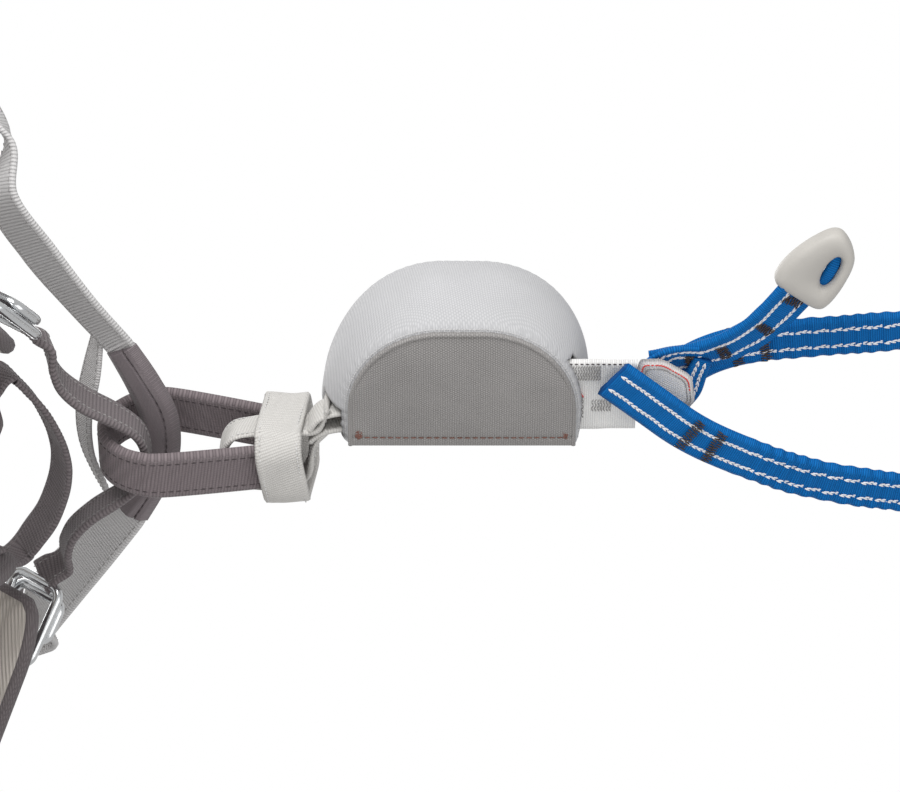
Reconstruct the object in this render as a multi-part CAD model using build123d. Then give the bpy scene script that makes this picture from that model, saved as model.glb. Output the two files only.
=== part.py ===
from build123d import *
import math
import os

# Sit harness with an energy-absorbing lanyard girth-hitched to its belay loop.
# Millimetres. +X is the wearer's front, +Y the wearer's left, +Z up.
# The origin is the centre of the waist opening. The lanyard is drawn out straight ahead.

# Waist belt
WAIST_DEPTH = 98.0          # half of the opening, front to back
WAIST_WIDTH = 160.0         # half of the opening, side to side
WAIST_END_RADIUS = 90.0     # inner radius at each hip
BELT_LINING = 1.6
BELT_FOAM = 6.5
BELT_COVER = 1.6
BELT_HEIGHT = 76.0
BELT_END_HEIGHT = 50.0
BELT_FRONT_GAP = WAIST_WIDTH - 29   # the padding stops at this distance from the middle
LAYER_GAP = 0.15

# Webbing
WEB_WIDTH = 25.0
WEB_THICK = 2.2
STRAP_Z = -6.0              # height of the waist webbing on the belt
BRIDGE_WIDTH = 18.0

# Tie-in and belay loop
TIE_Z = -60.0               # height of the belay loop's middle
BELAY_X = 150.7             # centre of the loop's inner bend
BELAY_BEND = 24.0           # centreline radius of the inner bend
BELAY_NOSE_X = 189.0
BELAY_NOSE_BEND = 15.0
BELAY_NOSE_DROP = 3.0
BELAY_WIDTH = 22.0
BELAY_THICK = 4.4
SLEEVE_WIDTH = 16.0
SLEEVE_THICK = 7.0

# Leg loops
LEG_RADIUS = 80.0           # inner radius of the round part
LEG_TILT = 50.0             # how far each loop's plane is turned up from level
LEG_X = 3.0
LEG_Y = LEG_RADIUS + 12
LEG_Z = -181.6
LEG_TIP_X = 143.0           # tip of the teardrop in the loop's own plane
LEG_TIP_Y = 47.0
LEG_TIP_ROUND = 14.0
LEG_HEIGHT = 58.0
LEG_TIP_HEIGHT = 24.0
LEG_WEB_WIDTH = 20.0
LEG_LINING = 1.4
LEG_FOAM = 5.0
LEG_COVER = 1.4
LEG_BUCKLE_BACK = 29.4      # buckle's middle, back from the point where the two sides meet

# Buckles
BUCKLE_ROD = 2.1
BUCKLE_CLEAR = 1.2

# Gear loops
GEAR_ROD = 4.0
GEAR_SPAN = 84.0
GEAR_DROP = 62.0
GEAR_ANGLES = (("front_right", -82.0), ("rear_right", -143.0), ("front_left", 82.0), ("rear_left", 143.0))
HAUL_LENGTH = 74.0
HAUL_DROP = 34.0
HAUL_THICK = 3.0

# Pouch and absorber
POUCH_X = 227.8             # left lower corner of the front panel
POUCH_LENGTH = 92.0
POUCH_RISE = 53.7
POUCH_DEPTH = 54.0
POUCH_CORNER = 38.0
POUCH_BULGE = 7.5
POUCH_WALL = 1.4
POUCH_Y = -11.8             # flat closing side
POUCH_FRONT = -19.0         # front panel, measured from TIE_Z
PACK_WIDTH = 31.0
PACK_LAYER = 2.4
PACK_LAYERS = 6
PACK_LENGTH = 66.0

# Lanyard arms and connectors
ARM_WIDTH = 19.0
ARM_THICK = 5.0
ARM_LAYER = 10.0            # height between the arms where they share the eye
EYE_WIDTH = 34.0
ROD = 5.2                   # radius of the connector's bar
GATE_CLEAR = 0.4
PIN = 1.6                   # radius of the gate's hinge pin
PIN_CLEAR = 0.12
SLEEVE_WALL = 2.0           # how far the locking sleeve stands out
SLEEVE_LENGTH = 24.0

CONNECTOR_LENGTH = 112.0
CONNECTOR_WIDTH = 62.0

# Levels of the arms and their routes, in plan
EYE_LEVEL = -12.0           # sewn eye, measured from TIE_Z
NEAR_LEVEL = EYE_LEVEL - ARM_LAYER
STUB_LEVEL = EYE_LEVEL + ARM_LAYER
FAR_LEVEL = EYE_LEVEL + 2 * ARM_LAYER
NEAR_ROUTE = [
    (334, -46), (348, -34.5), (366, -19), (389.5, -7), (416, 3.6),
    (456, 10.6), (500, 13), (548, 12), (590, 14),
]
FAR_ROUTE = [
    (356, -24), (367, -34), (382.5, -41.5), (402, -45), (432, -47.6),
    (470, -51.2), (512, -50), (556, -52.8), (592, -52),
]
STUB_ROUTE = [(350, -40), (369.8, -43), (386.6, -50.7), (399.2, -62.3), (410, -78)]

CLEAR = 0.4                 # space between soft pieces on different bodies

BELT_OUT = BELT_LINING + BELT_FOAM + BELT_COVER + 2 * LAYER_GAP
LEG_OUT = LEG_LINING + LEG_FOAM + LEG_COVER + 2 * LAYER_GAP
GEAR_OUT = GEAR_ROD + 2.0


def save(shape, name):
    shape.label = name
    export_step(shape, f"parts/{name}.step")


def at(x, y, rise):
    """Point whose height is counted from the belay loop's middle."""
    return Vector(x, y, TIE_Z + rise)


def ribbon(stations, thick):
    """Strap through (centre, across) stations, where across is the width vector."""
    sections = []
    last = len(stations) - 1
    for index, (centre, across) in enumerate(stations):
        along = stations[min(index + 1, last)][0] - stations[max(index - 1, 0)][0]
        plane = Plane(origin=centre, x_dir=across, z_dir=along)
        sections.append(plane * Rectangle(across.length, thick))
    return loft(sections, ruled=True)


def mirrored(stations):
    """The same strap on the other side of the wearer."""
    return [(Vector(c.X, -c.Y, c.Z), Vector(a.X, -a.Y, a.Z)) for c, a in stations]


def oval(out):
    """Waist opening grown by out: flat arcs front and back, round arcs at the hips."""
    side = WAIST_WIDTH - WAIST_END_RADIUS
    depth = WAIST_DEPTH
    flat = (side ** 2 + depth ** 2 - WAIST_END_RADIUS ** 2) / (2 * (depth - WAIST_END_RADIUS))
    bend = WAIST_END_RADIUS + out
    reach = flat + out
    turn = math.atan2(side, flat - depth)
    join_x = depth - flat + reach * math.cos(turn)
    join_y = reach * math.sin(turn)
    front = ThreePointArc((join_x, -join_y), (depth + out, 0), (join_x, join_y))
    left = ThreePointArc((join_x, join_y), (0, side + bend), (-join_x, join_y))
    back = ThreePointArc((-join_x, join_y), (-depth - out, 0), (-join_x, -join_y))
    right = ThreePointArc((-join_x, -join_y), (0, -side - bend), (join_x, -join_y))
    return make_face([front, left, back, right])


def belt_profile():
    """Side view of the belt: full height behind, lower towards its front ends."""
    far = WAIST_DEPTH + 60
    high = BELT_HEIGHT / 2
    low = BELT_END_HEIGHT / 2
    outline = Polyline((-far, -high), (20, -high), (far, -low), (far, low), (20, high), (-far, high),
                       close=True)
    return extrude(Plane.XZ * make_face(outline), amount=WAIST_WIDTH + 60, both=True)


def belt_layer(inner, thick, trim=0.0):
    """One layer of the belt, open in front between its two ends."""
    ring = oval(inner + thick) - oval(inner)
    solid = extrude(ring, amount=BELT_HEIGHT / 2 - trim, both=True)
    opening = Pos(WAIST_DEPTH, 0, 0) * Box(WAIST_DEPTH, 2 * BELT_FRONT_GAP + 2 * trim, 2 * BELT_HEIGHT)
    return solid & belt_profile() - opening


def belt_band(out, thick, width, front_x, height):
    """Webbing laid round the back of the belt as far forward as front_x."""
    ring = oval(out + thick) - oval(out)
    solid = extrude(ring, amount=width / 2, both=True)
    cut = Pos(front_x + WAIST_DEPTH, 0, 0) * Box(2 * WAIST_DEPTH, 3 * WAIST_WIDTH, 2 * BELT_HEIGHT)
    return Pos(0, 0, height) * (solid - cut)


def make_belt():
    save(belt_layer(0, BELT_LINING), "waist_lining")
    save(belt_layer(BELT_LINING + LAYER_GAP, BELT_FOAM, 3), "waist_foam")
    save(belt_layer(BELT_OUT - BELT_COVER, BELT_COVER), "waist_cover")
    save(belt_band(BELT_OUT + LAYER_GAP, WEB_THICK, WEB_WIDTH, 18, STRAP_Z), "waist_webbing")


def hip_point(x, out):
    """Point on the right hip of the belt, out beyond its opening."""
    side = WAIST_WIDTH - WAIST_END_RADIUS
    return -side - math.sqrt((WAIST_END_RADIUS + out) ** 2 - x ** 2)


def front_strap():
    """Waist webbing from the right side buckle to the tie-in sleeve, turning as it goes."""
    out = BELT_OUT + WEB_THICK
    upright = Vector(0, 0, WEB_WIDTH)
    return [
        (Vector(34, hip_point(34, out), STRAP_Z), upright),
        (Vector(54, hip_point(54, out), STRAP_Z), upright),
        (Vector(71, hip_point(71, out + 1.5), STRAP_Z - 4), Vector(-1, 1, WEB_WIDTH)),
        (at(91.5, -124, 36), Vector(-5, 5, 23)),
        (at(91, -104, 20), Vector(-13, 13, 16)),
        (at(104, -82, 15), Vector(-15, 13, 13)),
        (at(120, -60, 11), Vector(-14, 10, 12)),
        (at(134, -42.5, 8.5), Vector(-13, 6, 6)),
    ]


def make_waist_straps():
    right = front_strap()
    save(ribbon(right, WEB_THICK), "front_strap_right")
    save(ribbon(mirrored(right), WEB_THICK), "front_strap_left")
    sleeve = [
        (at(135.5, -41, 7.6), Vector(-12, 8, 3)),
        (at(143.5, -25, 6.4), Vector(-14, 6, 1)),
        (at(149, -9, 6.2), Vector(-SLEEVE_WIDTH, 2, 0)),
    ]
    whole = sleeve + [mirrored([s])[0] for s in reversed(sleeve)]
    save(ribbon(whole, SLEEVE_THICK), "tie_in_sleeve")
    back = [
        (at(125.3, -44, 20.5), Vector(3, 0, -8)),
        (at(122, -27, 13), Vector(7, 0, -14)),
        (at(118, -9, 10), Vector(7, 0, -14)),
    ]
    whole = back + [mirrored([s])[0] for s in reversed(back)]
    save(ribbon(whole, 1.6), "tie_in_back_strap")


def make_leg_bridge():
    """Two layers join the leg loops: one through the belay loop and one behind it."""
    front = [
        (at(103.4, -57.8, -9.3), Vector(-9.5, 0, 14.5)),
        (at(108.6, -53.8, -9), Vector(-6, 0, BRIDGE_WIDTH - 1)),
        (at(109, -46, -10.5), Vector(-4, 0, BRIDGE_WIDTH)),
        (at(112.5, -37, -11), Vector(-2, 0, BRIDGE_WIDTH)),
        (at(121, -28, -10.5), Vector(0, 0, BRIDGE_WIDTH)),
        (at(132, -20.5, -9.5), Vector(0, 0, BRIDGE_WIDTH - 1)),
        (at(141, -13, -9), Vector(0, 0, BRIDGE_WIDTH - 3)),
        (at(144.5, -5, -9), Vector(0, 0, BRIDGE_WIDTH - 3)),
    ]
    whole = front + [mirrored([s])[0] for s in reversed(front)]
    save(ribbon(whole, 2.6), "leg_bridge_front")
    back = [
        (at(85.5, -42.5, -24.3), Vector(-10.5, 0, 9)),
        (at(88.5, -44.6, -18.5), Vector(-9.5, 0, 12)),
        (at(91.5, -43.6, -14), Vector(-8.5, 0, 15)),
        (at(96.5, -37, -13), Vector(-9, 0, 16)),
        (at(103, -27, -12.5), Vector(-9, 0, 16)),
        (at(108, -14, -12), Vector(-9, 0, 16)),
        (at(110, -4, -12), Vector(-9, 0, 16)),
    ]
    whole = back + [mirrored([s])[0] for s in reversed(back)]
    save(ribbon(whole, 2.2), "leg_bridge_back")


def stadium(nose_bend, bend, nose_x, nose_drop):
    """Belt line round the belay loop's two bends, in the XZ plane."""
    run = Vector(nose_x - BELAY_X, -nose_drop)
    reach = run.length
    lean = math.atan2(run.Y, run.X)
    spread = math.acos((bend - nose_bend) / reach)
    points = []
    for sign in (1, -1):
        angle = lean + sign * spread
        points.append((bend * math.cos(angle), bend * math.sin(angle)))
        points.append((run.X + nose_bend * math.cos(angle), run.Y + nose_bend * math.sin(angle)))
    heel = (bend * math.cos(lean + math.pi), bend * math.sin(lean + math.pi))
    nose = (run.X + nose_bend * math.cos(lean), run.Y + nose_bend * math.sin(lean))
    top = Line(points[0], points[1])
    front = ThreePointArc(points[1], nose, points[3])
    low = Line(points[3], points[2])
    rear = ThreePointArc(points[2], heel, points[0])
    return make_face([top, front, low, rear])


def make_belay_loop():
    half = BELAY_THICK / 2
    outer = stadium(BELAY_NOSE_BEND + half, BELAY_BEND + half, BELAY_NOSE_X, BELAY_NOSE_DROP)
    inner = stadium(BELAY_NOSE_BEND - half, BELAY_BEND - half, BELAY_NOSE_X, BELAY_NOSE_DROP)
    band = extrude(Plane.XZ * (outer - inner), amount=BELAY_WIDTH / 2, both=True)
    save(Pos(BELAY_X, 0, TIE_Z) * band, "belay_loop")


def make_girth_hitch():
    """The lanyard's loop: a wrap round the belay loop's nose and two legs through it."""
    wrap_width = 19.0
    wrap_thick = 2.0
    half_wide = BELAY_WIDTH / 2 + 6.5
    low = -BELAY_NOSE_DROP - BELAY_NOSE_BEND - BELAY_THICK / 2 - 5.8
    high = low + 45
    corner = 12.0
    outline = RectangleRounded(2 * half_wide, high - low, corner)
    hole = RectangleRounded(2 * (half_wide - wrap_thick), high - low - 2 * wrap_thick, corner - wrap_thick)
    band = extrude(Plane.YZ * (outline - hole), amount=wrap_width)
    save(Pos(193, 0, TIE_Z + (low + high) / 2) * band, "girth_wrap")
    bight = BELAY_WIDTH / 2 + 2.2
    leg = [(219, -25.5), (215.4, -bight - 1.8), (205, -bight - 0.4), (189, -bight)]
    line = Polyline(*leg)
    turn = ThreePointArc((189, -bight), (189 - bight, 0), (189, bight))
    back = Polyline((189, bight), (206, bight), (211, 8), (213.5, -8), (219, -15.5))
    path = Wire([*line.edges(), *turn.edges(), *back.edges()])
    section = Plane(origin=(219, -25.5, 0), x_dir=(0, 0, 1), z_dir=(-3.6, 10.5, 0)) * Rectangle(15, 1.8)
    loop = sweep(section, path=path, transition=Transition.RIGHT)
    save(Pos(0, 0, TIE_Z - 8) * loop, "girth_loop")


def leg_plane(side):
    """Plane of one leg loop: x towards its tip, y to the wearer's left."""
    tilt = math.radians(LEG_TILT)
    forward = Vector(math.cos(tilt), 0, math.sin(tilt))
    normal = Vector(-math.sin(tilt), 0, math.cos(tilt))
    return Plane(origin=(LEG_X, side * LEG_Y, LEG_Z), x_dir=forward, z_dir=normal)


def teardrop(out, side):
    """Outline of a leg loop, out beyond its opening. side is -1 for the right leg."""
    reach = math.hypot(LEG_TIP_X, LEG_TIP_Y)
    lean = math.atan2(LEG_TIP_Y, LEG_TIP_X)
    inset = reach - LEG_TIP_ROUND / (LEG_RADIUS / reach)
    spread = math.acos((LEG_RADIUS - LEG_TIP_ROUND) / inset)
    centre = Vector(inset * math.cos(lean), inset * math.sin(lean))
    big = LEG_RADIUS + out
    small = LEG_TIP_ROUND + out
    ends = [lean + spread, lean - spread]
    rim = [Vector(big * math.cos(a), big * math.sin(a)) for a in ends]
    tip = [centre + Vector(small * math.cos(a), small * math.sin(a)) for a in ends]
    nose = centre + Vector(small * math.cos(lean), small * math.sin(lean))
    heel = Vector(-big * math.cos(lean), -big * math.sin(lean))
    face = make_face([
        Line(rim[0], tip[0]),
        ThreePointArc(tip[0], nose, tip[1]),
        Line(tip[1], rim[1]),
        ThreePointArc(rim[1], heel, rim[0]),
    ])
    return face if side < 0 else mirror(face, about=Plane.XZ)


def leg_layer(side, inner, thick, trim=0.0):
    """One layer of a leg pad, open at the tip and lower towards it."""
    ring = teardrop(inner + thick, side) - teardrop(inner, side)
    solid = extrude(ring, amount=LEG_HEIGHT / 2 - trim, both=True)
    far = LEG_TIP_X + 60
    high = LEG_HEIGHT / 2 - trim
    low = LEG_TIP_HEIGHT / 2 - trim
    outline = Polyline((-far, -high), (10, -high), (far - 40, -low), (far - 40, low), (10, high),
                       (-far, high), close=True)
    taper = extrude(Plane.XZ * make_face(outline), amount=3 * LEG_RADIUS, both=True)
    tip = Pos(LEG_TIP_X, -side * (LEG_TIP_Y + 3), 0) * Box(36 + 2 * trim, 26 + 2 * trim, 2 * LEG_HEIGHT)
    return leg_plane(side) * (solid & taper - tip)


def leg_band(side):
    """Webbing round the outside of a leg pad, from the buckle to the inner end."""
    ring = teardrop(LEG_OUT + LAYER_GAP + WEB_THICK, side) - teardrop(LEG_OUT + LAYER_GAP, side)
    solid = extrude(ring, amount=LEG_WEB_WIDTH / 2, both=True)
    gap = Pos(LEG_TIP_X - 2, -side * (LEG_TIP_Y - 6), 0) * Box(40, 58, 2 * LEG_HEIGHT)
    return leg_plane(side) * (solid - gap)


def make_leg_loops():
    for side, name in ((-1, "right"), (1, "left")):
        save(leg_layer(side, 0, LEG_LINING), f"leg_lining_{name}")
        save(leg_layer(side, LEG_LINING + LAYER_GAP, LEG_FOAM, 3), f"leg_foam_{name}")
        save(leg_layer(side, LEG_OUT - LEG_COVER, LEG_COVER), f"leg_cover_{name}")
        save(leg_band(side), f"leg_webbing_{name}")


def rod_frame(length, width, rod):
    """Rounded rectangular frame of round bar, lying in the XY plane."""
    path = RectangleRounded(length - 2 * rod, width - 2 * rod, rod + 2.5).wire()
    start = Plane(origin=(0, -(width / 2 - rod), 0), x_dir=(0, 1, 0), z_dir=(1, 0, 0))
    return sweep(start * Circle(rod), path=path)


def leg_buckle_plane(side):
    """Plane of a leg buckle, on the flat front of the loop."""
    reach = math.hypot(LEG_TIP_X, LEG_TIP_Y)
    lean = math.atan2(LEG_TIP_Y, LEG_TIP_X) - math.acos(LEG_RADIUS / reach)
    out = Vector(math.cos(lean), -side * math.sin(lean), 0)
    along = Vector(-side * math.sin(lean), -math.cos(lean), 0) * side
    stand = LEG_RADIUS + LEG_OUT + LAYER_GAP + WEB_THICK + BUCKLE_ROD + BUCKLE_CLEAR
    run = math.sqrt(reach ** 2 - LEG_RADIUS ** 2) - LEG_BUCKLE_BACK
    middle = out * stand - Vector(math.sin(lean), side * math.cos(lean), 0) * run
    local = Plane(origin=middle, x_dir=along, z_dir=out)
    return leg_plane(side) * local.location


def waist_buckle_plane(side):
    """Plane of a waist buckle, at the hip."""
    out = BELT_OUT + 3 * WEB_THICK + BUCKLE_ROD + BUCKLE_CLEAR
    x = 46.0
    y = -hip_point(x, out)
    centre = WAIST_WIDTH - WAIST_END_RADIUS
    normal = Vector(x, side * (y - centre), 0)
    along = Vector(y - centre, -side * x, 0)
    return Plane(origin=(x, side * y, STRAP_Z), x_dir=along, z_dir=normal).location


def make_buckles():
    """Double-frame buckles: the frames stay on their webbing and the sliders rock on them."""
    frames = {"leg": [], "waist": []}
    for side, name in ((-1, "right"), (1, "left")):
        for kind, place, width in (
            ("leg", leg_buckle_plane(side), LEG_WEB_WIDTH),
            ("waist", waist_buckle_plane(side), WEB_WIDTH),
        ):
            outer = width + 4 * BUCKLE_ROD + 2
            frames[kind].append(place * rod_frame(38, outer, BUCKLE_ROD))
            rise = 2 * BUCKLE_ROD + GATE_CLEAR
            slider = Pos(3, 0, rise) * rod_frame(22, outer, BUCKLE_ROD)
            save(place * slider, f"{kind}_buckle_slider_{name}")
    for kind, pair in frames.items():
        save(Compound(children=pair), f"{kind}_buckle_frames")


def make_tails():
    """Free ends of the adjusted straps, folded back over their own webbing."""
    waist = []
    leg = []
    for side in (-1, 1):
        band = belt_band(BELT_OUT + 2 * LAYER_GAP + WEB_THICK, 1.8, WEB_WIDTH - 2, 16, STRAP_Z)
        keep = Pos(-22, side * WAIST_WIDTH, 0) * Box(80, WAIST_WIDTH, BELT_HEIGHT)
        waist.append(band & keep)
        ring = teardrop(LEG_OUT + 2 * LAYER_GAP + WEB_THICK + 1.8, side)
        ring = ring - teardrop(LEG_OUT + 2 * LAYER_GAP + WEB_THICK, side)
        solid = extrude(ring, amount=LEG_WEB_WIDTH / 2 - 1, both=True)
        keep = Pos(26, side * (LEG_RADIUS - 2), 0) * Box(74, 60, LEG_HEIGHT)
        leg.append(leg_plane(side) * (solid & keep))
    save(Compound(children=waist), "waist_tails")
    save(Compound(children=leg), "leg_tails")


def make_risers():
    """Elastic straps that hold the leg loops up behind, each with a hook at the belt."""
    straps = []
    hooks = []
    for side in (-1, 1):
        top = Vector(-WAIST_DEPTH - BELT_OUT - 3, side * 52, -BELT_HEIGHT / 2 - 12)
        foot = Vector(LEG_X - 82, side * (LEG_Y - 2), LEG_Z - 45.3)
        across = Vector(0, -side * 12, -6)
        strap = ribbon([(top, across), ((top + foot) * 0.5 + Vector(-6, 0, 0), across), (foot, across)], 1.6)
        straps.append(strap)
        hook = Pos(top.X, top.Y, top.Z + 11) * Box(3.2, 17, 13)
        hook = fillet(hook.edges().filter_by(Axis.X), 4)
        hooks.append(hook - Pos(top.X, top.Y, top.Z + 12) * Box(8, 10, 5))
    save(Compound(children=straps), "risers")
    save(Compound(children=hooks), "riser_hooks")


def gear_loop(span, drop, rod):
    """Moulded loop hanging in the XZ plane from the two ends of its hinge line."""
    half = span / 2
    sag = 9.0
    path = FilletPolyline((-half, sag, 0), (-half, 0, -20), (-half * 0.8, 0, -drop), (half * 0.8, 0, -drop),
                          (half, 0, -20), (half, sag, 0), radius=[24, 26, 26, 24])
    start = Plane(origin=(-half, sag, 0), x_dir=(1, 0, 0), z_dir=(0, -sag, -20))
    return sweep(start * Circle(rod), path=path)


def gear_place(angle):
    """Hinge line of a gear loop below the waist webbing, facing out at this bearing."""
    turn = math.radians(angle)
    x = (WAIST_END_RADIUS + BELT_OUT + WEB_THICK + GEAR_OUT + 4) * math.cos(turn) * 0.9
    side = math.copysign(1, angle)
    y = side * (-hip_point(x, BELT_OUT + 2 * WEB_THICK + GEAR_OUT + 5))
    out = Vector(math.cos(turn), math.sin(turn), 0)
    return Vector(x, y, -BELT_HEIGHT / 2 + 8), out


def make_gear_loops():
    for name, angle in GEAR_ANGLES:
        middle, out = gear_place(angle)
        plane = Plane(origin=middle, x_dir=Vector(0, 0, 1).cross(out), z_dir=(0, 0, 1))
        save(plane.location * gear_loop(GEAR_SPAN, GEAR_DROP, GEAR_ROD), f"gear_loop_{name}")
    haul = Pos(-WAIST_DEPTH - BELT_OUT - 7.5, 0, -20) * (Plane.YZ * gear_loop_band())
    save(haul, "haul_loop")


def gear_loop_band():
    """Webbing haul loop seen from behind."""
    hollow = SlotOverall(HAUL_LENGTH - 2 * HAUL_THICK, HAUL_DROP - 2 * HAUL_THICK)
    face = SlotOverall(HAUL_LENGTH, HAUL_DROP) - hollow
    return extrude(face, amount=4, both=True)


def pouch_outline(grow, inset):
    """D shape of the pouch in plan, grown on its curved sides and inset all round."""
    out = grow - inset
    left = POUCH_X - out
    right = POUCH_X + POUCH_LENGTH + out
    low = POUCH_Y - inset
    high = POUCH_Y - POUCH_RISE - out
    face = make_face(Polyline((left, low), (right, low), (right, high), (left, high), close=True))
    tops = face.vertices().sort_by(Axis.Y)[0:2]
    return fillet(tops, POUCH_CORNER + out * 0.6)


def pouch_body(inset):
    """Solid pouch, fullest at the middle of its depth."""
    low = TIE_Z + POUCH_FRONT + inset
    high = TIE_Z + POUCH_FRONT + POUCH_DEPTH - inset
    middle = (low + high) / 2
    levels = ((low, 0.0), (middle, POUCH_BULGE), (high, 0.0))
    return loft([Pos(0, 0, z) * pouch_outline(grow, inset) for z, grow in levels], ruled=True)


def make_pouch():
    shell = pouch_body(0) - pouch_body(POUCH_WALL)
    front_cut = Pos(POUCH_X + POUCH_LENGTH / 2, POUCH_Y - POUCH_RISE / 2, TIE_Z + POUCH_FRONT)
    panel_slab = Box(3 * POUCH_LENGTH, 3 * POUCH_RISE, 2 * POUCH_WALL)
    back_cut = front_cut * Pos(0, 0, POUCH_DEPTH)
    front = shell & front_cut * panel_slab
    back = shell & back_cut * panel_slab
    gusset = shell - front_cut * panel_slab - back_cut * panel_slab
    mouth = Pos(POUCH_X, POUCH_Y - 10, TIE_Z - 8) * Box(30, 17, 17)
    exit_slot = Pos(POUCH_X + POUCH_LENGTH, POUCH_Y - 20, TIE_Z - 12) * Box(30, EYE_WIDTH + 1, 6)
    save(front, "pouch_front_panel")
    save(back, "pouch_back_panel")
    closing = Pos(POUCH_X + POUCH_LENGTH / 2, POUCH_Y, 0) * Box(POUCH_LENGTH + 4, 2 * POUCH_WALL, 400)
    save(gusset & closing - mouth - exit_slot, "pouch_closing_flap")
    save(gusset - closing - mouth - exit_slot, "pouch_gusset")


def make_absorber():
    """Tear webbing folded to and fro, the end strap and the sewn eye."""
    pitch = PACK_LAYER + 0.6
    layers = []
    for index in range(PACK_LAYERS):
        layers.append(Pos(0, 0, index * pitch) * Box(PACK_LENGTH, PACK_WIDTH, PACK_LAYER))
        if index < PACK_LAYERS - 1:
            end = (PACK_LENGTH - PACK_LAYER) / 2 * (1 if index % 2 else -1)
            layers.append(Pos(end, 0, (index + 0.5) * pitch) * Box(PACK_LAYER, PACK_WIDTH, pitch))
    pack = layers[0]
    for piece in layers[1:]:
        pack += piece
    base = at(POUCH_X + POUCH_LENGTH / 2, POUCH_Y - 5 - PACK_WIDTH / 2, -9.8)
    save(Pos(base) * pack, "tear_webbing_pack")
    start_x = POUCH_X + POUCH_LENGTH / 2 + PACK_LENGTH / 2 + LAYER_GAP
    strap_y = POUCH_Y - 20
    eye_x = 344.0
    strap = Pos((start_x + eye_x) / 2, strap_y, TIE_Z - 12) * Box(eye_x - start_x, EYE_WIDTH, 3.2)
    save(strap, "end_webbing")
    eye = make_face(Polyline((0, -EYE_WIDTH / 2), (0, EYE_WIDTH / 2 - 6), (14, EYE_WIDTH / 2 - 4), (24, 4),
                             (22, -9), (10, -EYE_WIDTH / 2), close=True))
    save(Pos(eye_x + LAYER_GAP, strap_y, TIE_Z - 12) * extrude(eye, amount=1.6, both=True), "sewn_eye")


def flat_cord(points, radii, level):
    """Flat elastic webbing along straight runs and tangent arcs at one height."""
    path = FilletPolyline(*[(x, y, 0) for x, y in points], radius=radii)
    along = Vector(points[1][0] - points[0][0], points[1][1] - points[0][1], 0)
    across = Vector(0, 0, 1).cross(along)
    section = Plane(origin=(*points[0], 0), x_dir=across, z_dir=along) * Rectangle(ARM_WIDTH, ARM_THICK)
    return Pos(0, 0, level) * sweep(section, path=path)


def bend_radii(points):
    """Largest tangent arc that the two runs at each corner allow."""
    radii = []
    for before, corner, after in zip(points, points[1:], points[2:]):
        first = Vector(corner[0] - before[0], corner[1] - before[1])
        second = Vector(after[0] - corner[0], after[1] - corner[1])
        turn = math.radians(first.get_angle(second))
        radii.append(0.45 * min(first.length, second.length) / math.tan(turn / 2))
    return radii


def make_arms():
    """Two elastic arms and the short tail, all round the sewn eye."""
    for name, route, rise in (("near_arm", NEAR_ROUTE, NEAR_LEVEL), ("far_arm", FAR_ROUTE, FAR_LEVEL)):
        radii = bend_radii(route)
        save(flat_cord(route, radii, TIE_Z + rise), name)
    save(flat_cord(STUB_ROUTE, bend_radii(STUB_ROUTE), TIE_Z + STUB_LEVEL), "stub_arm")


def make_stub_ring():
    """Moulded guard on the end of the short tail, with a slot through it."""
    body = make_face(Polyline((-6, -10), (-1, -13), (8, -13), (20, -9.5), (27, -5), (27, 1), (21.5, 8.5),
                              (10, 12.2), (-1, 13), (-6, 10), close=True))
    body = extrude(fillet(body.vertices(), 2), amount=5.2, both=True)
    body = fillet(body.faces().sort_by(Axis.Z)[-1].edges(), 1.6)
    slot = Pos(11.5, 4, 0) * Rot(0, 0, -11) * extrude(SlotOverall(15, 5.5), amount=20, both=True)
    hollow = Pos(-2, 0, 0) * Box(18, ARM_WIDTH + 2 * CLEAR, ARM_THICK + 2 * CLEAR)
    place = Pos(*at(STUB_ROUTE[-1][0], STUB_ROUTE[-1][1], STUB_LEVEL)) * Rot(0, 0, -55)
    save(place * (body - slot - hollow), "stub_ring")


def connector_line():
    """Centre line of a pear-shaped connector from its nose round to its hinge, eye at the origin."""
    length = CONNECTOR_LENGTH - 2 * ROD
    half = CONNECTOR_WIDTH / 2 - ROD
    return [(length * 0.86, -half), (length, -half * 0.75), (length, half * 0.45), (length * 0.78, half),
            (16, 21), (0, 11), (0, -11), (14, -17), (26, -half * 0.86)]


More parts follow.
